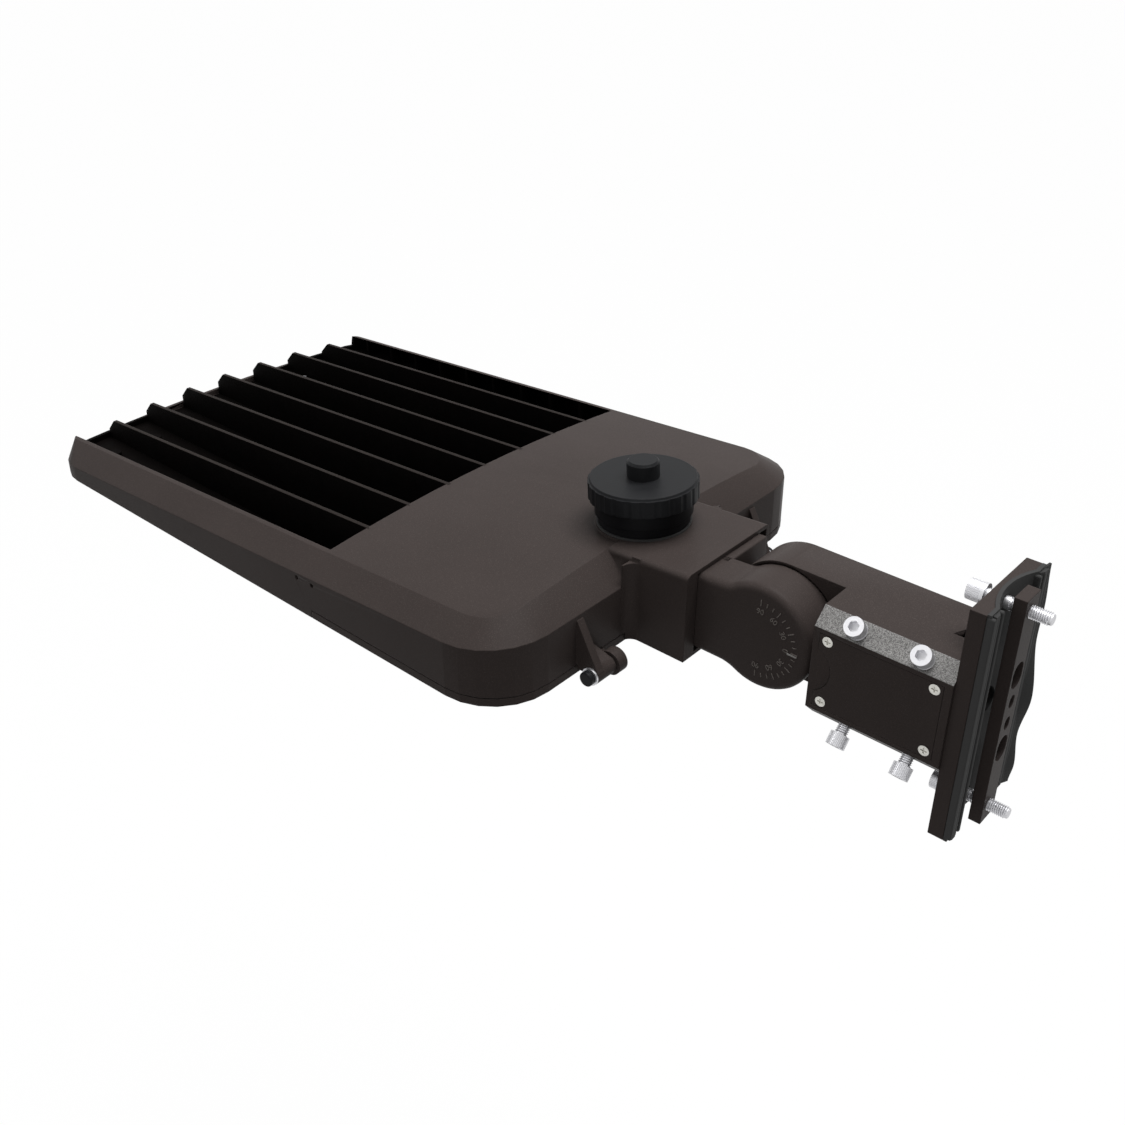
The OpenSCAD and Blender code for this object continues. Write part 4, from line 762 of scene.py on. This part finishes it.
@dataclass
class PoleMount(Assembly):
    """Plate, gaskets, bolts and nut bar at the pole."""

    bolt: CapScrew = CapScrew(shank=0.008, head=0.0126, rise=0.008, length=0.040, thread=0.024)
    bolt_seat_x: float = 0.0215
    bead_at: Triple = (0.0235, 0.0288, 0.0335)
    bead_x: float = 0.0022
    bead_deep: float = 0.0048
    bead_wide: float = 0.0030
    bead_long_share: float = 0.985
    bead_round: float = 0.0011
    flap_root: Pair = (0.0028, -0.030)
    flap_out: float = -0.0388
    flap_edge: tuple[Pair, ...] = (
        (-0.078, -0.0012), (-0.064, -0.0028), (-0.042, -0.0006), (-0.013, -0.0044),
        (0.030, 0.0006), (0.050, 0.0002), (0.078, 0.0016),
    )
    flap_x: float = 0.0030
    flap_t: float = 0.0016
    flap_round: float = 0.0004
    flap_steps: int = 64

    def build(self) -> None:
        """Dresses the nodes and models the bolts and the soft edges of the gasket."""
        self.cast(Kit.BRONZE, "pole_plate")
        self.dress(Kit.BRONZE, "nut_bar")
        self.dress(Kit.RUBBER, "pole_gasket")
        self.dress(Kit.STAINLESS, "pole_bolt_washers")
        self._bolts()
        self._beads()
        self._flap()

    def _bolts(self) -> None:
        """Models both pole bolts, in place of the plain ones."""
        first = self.bolt.build()
        both = [first, twin(first)]
        for o, side in zip(both, (-1, 1)):
            stood(o, Vector((self.bolt_seat_x, 0.0, side * BOLT_GAP / 2)), Vector((1, 0, 0)))
        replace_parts(self.keep(joined(both), "pole_bolts_threaded", Kit.STAINLESS, "stainless"), "pole_bolts")

    def _beads(self) -> None:
        """Models the rubber beads along both sides of the gasket."""
        size = (self.bead_deep, self.bead_wide, PLATE_H * self.bead_long_share)
        beads = []
        for side in (-1, 1):
            for y in self.bead_at:
                beads.append(bevelled(box((self.bead_x, side * y, 0.0), size), self.bead_round, 3))
        self.keep(joined(beads), "gasket_beads", Kit.RUBBER, "rubber")

    def _edge(self, z: float) -> float:
        """Args: z: height on the plate. Returns: how far the flap's free edge stands off the pole's face."""
        for (z0, x0), (z1, x1) in zip(self.flap_edge, self.flap_edge[1:]):
            if z <= z1:
                share = max(0.0, (z - z0) / (z1 - z0))
                return x0 + (x1 - x0) * share * share * (3 - 2 * share)
        return self.flap_edge[-1][1]

    def _flap(self) -> None:
        """Models the gasket's thin flap, whose free edge is wavy."""
        deselect()
        bpy.ops.mesh.primitive_grid_add(
            x_subdivisions=1, y_subdivisions=self.flap_steps, size=1.0, location=(self.flap_x, 0.0, 0.0)
        )
        flap = bpy.context.active_object
        for v in flap.data.vertices:
            z = v.co.y * PLATE_H
            x, y = (self._edge(z), self.flap_out) if v.co.x < 0 else self.flap_root
            v.co = (x - self.flap_x, y, z)
        skin = flap.modifiers.new("skin", "SOLIDIFY")
        skin.thickness = self.flap_t
        skin.offset = 0.0
        self.keep(bevelled(apply_all(flap), self.flap_round), "gasket_flap", Kit.RUBBER, "rubber")


@dataclass
class Arm(Assembly):
    """Arm casting with its cover and clamp screws."""

    screw: CapScrew = CapScrew(shank=0.008, head=0.0120, rise=0.008, length=0.018, thread=0.0175)
    screw_x: Pair = (0.03456, 0.07639)
    screw_y: float = 0.032
    screw_z: float = 0.034
    stands: tuple[Pair, ...] = ((1, 0.0015), (-1, 0.0060))

    def build(self) -> None:
        """Dresses the nodes and models the four clamp screws."""
        self.cast(Kit.BRONZE_ARM, "arm_casting")
        self.dress(Kit.BRONZE, "arm_cover")
        self.dress(Kit.RUBBER, "arm_cover_gasket")
        self.dress(Kit.BRIGHT, "arm_cover_screws")
        self.dress(Kit.STAINLESS, "knuckle_washer")
        self.dress(Kit.DULL_STEEL, "knuckle_bolt")
        first = self.screw.build()
        screws = []
        for x in self.screw_x:
            for side, stand in self.stands:
                axis = Vector((0, 1, side)).normalized()
                seat = Vector((x, self.screw_y, side * self.screw_z))
                screws.append(stood(twin(first), seat + axis * stand, axis))
        bpy.data.objects.remove(first)
        piece = self.keep(joined(screws), "arm_clamp_screws_knurled", Kit.STAINLESS, "stainless")
        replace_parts(piece, "arm_clamp_screws")


@dataclass
class Knuckle(Assembly):
    """Toothed lug on the head's side, with its dial."""

    disc_r: float = 0.0366
    disc_steps: int = 72
    shank_top: float = 0.0294
    shank_low: float = 0.0300
    shank_end: float = 0.0837
    hollow_top: float = 0.016
    hollow_low: float = 0.026
    hollow_steps: int = 12
    edge: float = 0.0050
    edge_steps: int = 6
    shoulder_x: float = 0.0407
    shoulder_y: Pair = (-0.0345, 0.0100)
    shoulder_edge: float = 0.0012
    tooth_face: float = 0.004
    tooth_in: float = 0.76
    tooth_h: float = 0.0011
    tooth_rim: float = 0.0003
    tooth_sunk_share: float = 0.4
    teeth: int = 72
    hair: float = 0.00001
    rise: float = 0.0005
    number_r: float = 0.0195
    number_high: float = 0.0052
    number_step: int = 30
    number_most: int = 3
    tick_r: float = 0.0258
    tick_size: Pair = (0.0030, 0.0006)
    tick_long_share: float = 1.5
    tick_round_share: float = 0.4
    ticks: int = 19
    mark_r: float = 0.0245
    mark_size: Triple = (0.0068, 0.0009, 0.0006)
    mark_out: float = 0.0003
    mark_z: float = -0.0012
    mark_round: float = 0.0002

    def build(self) -> None:
        """Models the lug with its teeth, and stands ticks, numbers and the zero mark on its dial."""
        self.dress(Kit.STAINLESS, "lug_screws")
        body = joined([self._lug(), self._shoulder()])
        smooth(body, CAST_SMOOTH)
        piece = self.keep(joined([body, self._teeth()]), "knuckle_lug_cast", Kit.BRONZE, "bronze")
        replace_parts(piece, "knuckle_lug")
        self._numbers()
        self._ticks()
        self._mark()

    def _hollow(self, top: float, radius: float) -> tuple[list[Pair], float]:
        """Args: top: height of the shank. radius: of the hollow.

        Returns: its points from disc to shank, and the disc's angle there.
        """
        reach = self.disc_r + radius
        x = math.sqrt(reach ** 2 - (top + radius) ** 2)
        meets = math.atan2(x, top + radius)
        arc = []
        for i in range(self.hollow_steps + 1):
            turn = meets * (1 - i / self.hollow_steps)
            arc.append((x - radius * math.sin(turn), top + radius - radius * math.cos(turn)))
        return arc, meets

    def _outline(self) -> list[Vector]:
        """Returns: the lug's outline in x and z, from the shank's top round the disc to its underside."""
        upper, top_turn = self._hollow(self.shank_top, self.hollow_top)
        lower, low_turn = self._hollow(self.shank_low, self.hollow_low)
        fall = Matrix.Rotation(ROOF_FALL, 3, "Y")
        points = [fall @ Vector((self.shank_end, 0, self.shank_top))]
        points += [fall @ Vector((x, 0, z)) for x, z in reversed(upper)]
        start = math.pi / 2 - top_turn + -ROOF_FALL
        end = 1.5 * math.pi + low_turn
        for i in range(1, self.disc_steps):
            turn = start + (end - start) * i / self.disc_steps
            points.append(Vector((self.disc_r * math.cos(turn), 0, self.disc_r * math.sin(turn))))
        points += [Vector((x, 0, -z)) for x, z in lower]
        points.append(Vector((self.shank_end, 0, -self.shank_low)))
        return points

    def _lug(self) -> bpy.types.Object:
        """Returns: disc and shank in one, with a rounded near edge."""
        points = self._outline()
        deselect()
        bpy.ops.mesh.primitive_circle_add(vertices=len(points), radius=self.disc_r, fill_type="NGON")
        lug = bpy.context.active_object
        for v, p in zip(lug.data.vertices, points):
            v.co = p + Vector((KNUCKLE_X, self.tooth_face, 0))
        activate(lug)
        wide = (0, DIAL_FACE - self.tooth_face, 0)
        bpy.ops.object.mode_set(mode="EDIT")
        bpy.ops.mesh.select_all(action="SELECT")
        bpy.ops.mesh.extrude_region_move(TRANSFORM_OT_translate={"value": wide})
        bpy.ops.mesh.bevel(offset=self.edge, segments=self.edge_steps, affect="EDGES", profile=0.5)
        bpy.ops.mesh.select_all(action="SELECT")
        bpy.ops.mesh.normals_make_consistent(inside=False)
        bpy.ops.object.mode_set(mode="OBJECT")
        return lug

    def _shoulder(self) -> bpy.types.Object:
        """Returns: the wide root of the shank that fills the mouth of the neck."""
        far, near = self.shoulder_y
        middle = (KNUCKLE_X + (self.shoulder_x + self.shank_end) / 2, (far + near) / 2, 0.0)
        root = box(middle, (self.shank_end - self.shoulder_x, near - far, 1.0))
        for v in root.data.vertices:
            along = v.co.x - KNUCKLE_X
            top = self.shank_top / math.cos(ROOF_FALL) - along * math.tan(ROOF_FALL)
            v.co.z = top if v.co.z > 0 else -self.shank_low
        return bevelled(root, self.shoulder_edge, 3)

    def _teeth(self) -> bpy.types.Object:
        """Returns: the ring of radial teeth on the far face of the disc."""
        deselect()
        bpy.ops.mesh.primitive_cylinder_add(
            vertices=2 * self.teeth,
            radius=self.disc_r - self.tooth_rim,
            depth=self.tooth_h,
            location=(KNUCKLE_X, self.tooth_face + self.tooth_h * self.tooth_sunk_share, 0),
            rotation=(math.pi / 2, 0, 0),
        )
        ring = apply_all(bpy.context.active_object)
        bpy.ops.object.mode_set(mode="EDIT")
        mesh = bmesh.from_edit_mesh(ring.data)
        for f in mesh.faces:
            f.select_set(f.normal.y < -END)
        bmesh.update_edit_mesh(ring.data)
        bpy.ops.mesh.inset(thickness=self.disc_r * (1 - self.tooth_in))
        bpy.ops.mesh.select_all(action="DESELECT")
        mesh = bmesh.from_edit_mesh(ring.data)
        far = min(v.co.y for v in mesh.verts)
        for v in mesh.verts:
            turn = math.atan2(v.co.z, v.co.x - KNUCKLE_X) / math.pi * self.teeth
            if v.co.y < far + self.hair and int(round(turn - 0.5)) % 2 == 0:
                v.co.y -= self.tooth_h
        bmesh.update_edit_mesh(ring.data)
        bpy.ops.object.mode_set(mode="OBJECT")
        return ring

    @staticmethod
    def _on_dial(angle: float, radius: float) -> Vector:
        """Args: angle: up from the pole's side, in radians. radius: from the axis. Returns: the place."""
        out = Vector((-math.cos(angle), 0, math.sin(angle)))
        return Vector((KNUCKLE_X, DIAL_FACE, 0)) + out * radius

    def _numbers(self) -> None:
        """Stands the plain angle numbers on the dial, with their feet towards the axis, lighter than the coat
        as a painted highlight.
        """
        turn = Matrix(((-1, 0, 0), (0, 0, 1), (0, 1, 0))).to_4x4()
        numbers = []
        for step in range(-self.number_most, self.number_most + 1):
            angle = math.radians(self.number_step * step)
            deselect()
            bpy.ops.object.text_add()
            text = bpy.context.active_object
            text.data.body = str(abs(self.number_step * step))
            text.data.size = self.number_high
            text.data.extrude = self.rise
            text.data.align_x = "CENTER"
            text.data.align_y = "CENTER"
            bpy.ops.object.convert(target="MESH")
            text = bpy.context.active_object
            at = Matrix.Translation(self._on_dial(angle, self.number_r))
            text.matrix_world = at @ turn @ Matrix.Rotation(angle - math.pi / 2, 4, "Z")
            numbers.append(apply_all(text))
        self.keep(joined(numbers), "dial_numbers", Kit.RELIEF, "bronze")

    def _ticks(self) -> None:
        """Stands the ticks on the dial, with each third one longer, lighter than the coat as a painted
        highlight.
        """
        ticks = []
        for i in range(self.ticks):
            angle = math.radians(-90 + 180 * i / (self.ticks - 1))
            long = self.tick_long_share if i % 3 == 0 else 1.0
            size = (self.tick_size[0] * long, 2 * self.rise, self.tick_size[1])
            tick = box(self._on_dial(angle, self.tick_r), size, (0, angle, 0))
            ticks.append(bevelled(tick, self.rise * self.tick_round_share, 1))
        self.keep(joined(ticks), "dial_ticks", Kit.RELIEF, "bronze")

    def _mark(self) -> None:
        """Stands the zero mark beside the dial's middle number, pale grey as a painted highlight."""
        long, high, out = self.mark_size
        at = (KNUCKLE_X - self.mark_r, DIAL_FACE + self.mark_out, self.mark_z)
        mark = box(at, (long, out * 2, high))
        self.keep(bevelled(mark, self.mark_round), "dial_zero_mark", Kit.WORN, "bronze")


@dataclass
class Head(Assembly):
    """Head casting, its door, hinges and what is inside."""

    pin_steps: tuple[tuple[float, ...], ...] = (
        (0.0030, 0.0002, 0.070, 0.0995),
        (0.0050, 0.0008, 0.0990, 0.1027),
    )
    pin_sides: int = 48
    smooth_below: float = 20.0
    roof_normal: float = 0.955
    rim_wide: float = 0.0032
    rim_drop: float = 0.0122
    rim_low: float = 0.1643
    nose: float = 0.0058
    skin: float = 0.0003
    nap: float = 0.0008

    def build(self) -> None:
        """Dresses the nodes."""
        self._housing()
        self.dress(Kit.BRONZE, "driver_door")
        self.dress(Kit.RUBBER, "door_gasket", "lens_gasket")
        self.dress(Kit.STAINLESS, "door_screw_near", "door_screw_far", "driver_screws", "lens_screws")
        self.dress(Kit.STAINLESS, "hinge_washers")
        self._pins()
        self.dress(Kit.DRIVER, "led_driver")
        self.dress(Kit.SURGE, "surge_protector")
        self.dress(Kit.BLOCK, "terminal_block")
        self.dress(Kit.BOARD, "led_board")
        self.dress(Kit.CHIP, "leds")
        self.dress(Kit.LENS, "lens_modules")

    def _pins(self) -> None:
        """Models the two hinge pins with their low heads, in place of the plain ones."""
        low, high = (Vector(corner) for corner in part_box("hinge_pins"))
        x, z = (low.x + high.x) / 2, (low.z + high.z) / 2
        parts = []
        for radius, rim, start, end in self.pin_steps:
            for side in (-1, 1):
                deselect()
                bpy.ops.mesh.primitive_cylinder_add(
                    vertices=self.pin_sides,
                    radius=radius,
                    depth=end - start,
                    location=(x, side * (start + end) / 2, z),
                    rotation=(math.pi / 2, 0, 0),
                )
                parts.append(bevelled(bpy.context.active_object, rim, 3))
        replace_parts(self.keep(joined(parts), "hinge_pins_turned", Kit.BLACK_OXIDE, "blackened"), "hinge_pins")

    def _housing(self) -> None:
        """Casts the housing and paints the faces of its open heat sink near-black: their dark coat, darkened
        further as painted shade.
        """
        housing = self.cast(Kit.BRONZE, "head_housing", self.smooth_below, self.roof_normal)
        housing.data.materials.append(Kit.SINK.material())
        housing.data.materials.append(Kit.FIN_TOP.material())
        # Faces deep in the heat sink take the near-black painted shade; fin tops keep a lighter coat
        for face in housing.data.polygons:
            face.material_index = self._zone(face.center)

    def _zone(self, at: Vector) -> int:
        """Args: at: middle of a face. Returns: 1 in the open heat sink, painted near-black as dark coat and
        painted shade, 2 on its fins' tops, 0 elsewhere.
        """
        rel = at.x - KNUCKLE_X
        top = rel * math.sin(ROOF_FALL) + at.z * math.cos(ROOF_FALL)
        along = rel * math.cos(ROOF_FALL) - at.z * math.sin(ROOF_FALL)
        low = min(1.0, max(0.0, (ROOF_SIDE_Z - top) / self.rim_drop))
        reach = TOP_HALF - self.rim_wide + low * (self.rim_low - TOP_HALF + self.rim_wide)
        crown = ROOF_Z - at.y * at.y * (ROOF_CROWN / TOP_HALF ** 2)
        open_top = abs(at.y) < reach and along > ROOF_FRONT + self.skin and rel < HEAD_FRONT - self.nose
        if not open_top or at.z < FLOOR_TOP - self.nap:
            return 0
        return 1 if top < crown - self.skin else 2


@dataclass
class Photocell(Assembly):
    """Receptacle and its shorting cap."""

    def build(self) -> None:
        """Dresses the nodes."""
        self.dress(Kit.RUBBER, "receptacle_gasket", "cap_gasket")
        # Receptacle and nut: dark plastic with painted shade under the cap
        self.dress(Kit.SOCKET, "receptacle", "receptacle_nut")
        self.dress(Kit.CAP, "shorting_cap")
        self.dress(Kit.BRASS, "receptacle_contacts", "cap_blades")


@dataclass(frozen=True)
class Lamp:
    """A square lamp of the studio."""

    name: str
    at: Triple
    to: Triple
    size: float
    watts: float

    def hang(self) -> None:
        """Adds the lamp, aimed at its target."""
        data = bpy.data.lights.new(self.name, "AREA")
        data.shape = "SQUARE"
        data.size = self.size
        data.energy = self.watts
        lamp = bpy.data.objects.new(self.name, data)
        bpy.context.scene.collection.objects.link(lamp)
        lamp.location = self.at
        lamp.rotation_euler = (Vector(self.to) - Vector(self.at)).to_track_quat("-Z", "Y").to_euler()


@dataclass(frozen=True)
class Studio:
    """Floor, lamps, world and the camera that took the photograph's view."""

    floor_at: Triple = (0.3, 0.0, -0.9)
    floor_size: float = 80.0
    floor_share: float = 0.93
    floor_grey: float = 0.30
    floor_glow: float = 1.06
    sky: float = 0.16
    lamps: tuple[Lamp, ...] = (
        Lamp("key_lamp", (0.15, -0.35, 1.9), (0.35, 0.0, 0.0), 1.3, 48.0),
        Lamp("edge_lamp", (1.5, 1.0, 1.4), (0.3, 0.0, 0.0), 0.7, 5.0),
        Lamp("front_lamp", (-0.5, 1.7, 0.35), (0.3, 0.0, 0.0), 1.2, 5.5),
    )
    sensor: float = 36.0
    focal_px: float = 1291.59
    frame_px: float = 1125.0
    shift: Pair = (-0.0055, -0.0389)
    clip: Pair = (0.01, 60.0)
    camera_at: Triple = (-0.19721, 0.59996, 0.45298)
    camera_forward: Triple = (0.56928837, -0.65634382, -0.49509953)
    camera_right: Triple = (-0.75307699, -0.65790276, 0.00624609)
    camera_up: Triple = (0.32982693, -0.36929223, 0.86881381)

    def build(self) -> None:
        """Makes the studio."""
        self._floor()
        self._world()
        for lamp in self.lamps:
            lamp.hang()
        self._camera()

    @staticmethod
    def _white_for(graph: Graph) -> Val:
        """Returns: 1 for rays that should see the white background, else 0."""
        path = graph.node("ShaderNodeLightPath", out=Ray.CAMERA.value)
        outs = path.socket.node.outputs
        return path.most(Val(graph, outs[Ray.GLOSSY.value])).most(Val(graph, outs[Ray.TRANSMISSION.value]))

    def _floor(self) -> None:
        """Lays the white floor, which still takes the light's shadow."""
        deselect()
        bpy.ops.mesh.primitive_plane_add(size=self.floor_size, location=self.floor_at)
        floor = bpy.context.active_object
        floor.name = "floor"
        material = bpy.data.materials.new("floor_white")
        graph = Graph(material)
        white = (1.0, 1.0, 1.0)
        matt = graph.node("ShaderNodeBsdfDiffuse", None, {"Color": rgba(white, self.floor_grey)}, "BSDF")
        light = {"Color": rgba(white), "Strength": self.floor_glow}
        glow = graph.node("ShaderNodeEmission", None, light, "Emission")
        share = self._white_for(graph) * self.floor_share
        graph.node_output(graph.node("ShaderNodeMixShader", None, {0: share, 1: matt, 2: glow}, "Shader"))
        floor.data.materials.append(material)
        floor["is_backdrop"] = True

    def _world(self) -> None:
        """Makes the world white for the camera and dim for what it lights."""
        world = bpy.data.worlds.new("studio")
        bpy.context.scene.world = world
        graph = Graph(world)
        glow = self._white_for(graph) * (1.0 - self.sky) + self.sky
        light = {"Color": rgba((1.0, 1.0, 1.0)), "Strength": glow}
        sky = graph.node("ShaderNodeBackground", None, light)
        made = graph.tree.nodes.new("ShaderNodeOutputWorld")
        graph.tree.links.new(sky.socket, made.inputs["Surface"])

    def _camera(self) -> None:
        """Puts the camera where the photograph was taken from."""
        data = bpy.data.cameras.new("camera")
        data.sensor_width = self.sensor
        data.lens = self.sensor * self.focal_px / self.frame_px
        data.shift_x, data.shift_y = self.shift
        data.clip_start, data.clip_end = self.clip
        camera = bpy.data.objects.new("camera", data)
        bpy.context.scene.collection.objects.link(camera)
        back = -Vector(self.camera_forward)
        turn = Matrix((Vector(self.camera_right), Vector(self.camera_up), back)).transposed()
        camera.matrix_world = Matrix.Translation(self.camera_at) @ turn.to_4x4()
        bpy.context.scene.camera = camera


ASSEMBLIES = (
    (PoleMount, Body.ARM),
    (Arm, Body.ARM),
    (Knuckle, Body.HEAD),
    (Head, Body.HEAD),
    (Photocell, Body.HEAD),
)


def note_size(key: str, store: dict) -> None:
    """Args: key: when it was measured. store: where the shown box goes, in millimetres."""
    low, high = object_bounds()
    store[key] = {"low_mm": [round(v * 1000, 1) for v in low], "high_mm": [round(v * 1000, 1) for v in high]}


def main() -> None:
    """Builds every assembly in order, then the studio."""
    logging.basicConfig(level=logging.INFO, format="%(name)s: %(message)s")
    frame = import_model()
    sizes: dict = {}
    note_size("cad", sizes)
    for kind, body in ASSEMBLIES:
        assembly = kind(frame, body)
        assembly.build()
        for piece in assembly.pieces:
            LOG.info("%s: %s", kind.__name__, piece.name)
    Studio().build()
    bpy.context.scene.view_settings.view_transform = "Standard"
    note_size("shown", sizes)


if __name__ == "__main__":
    main()
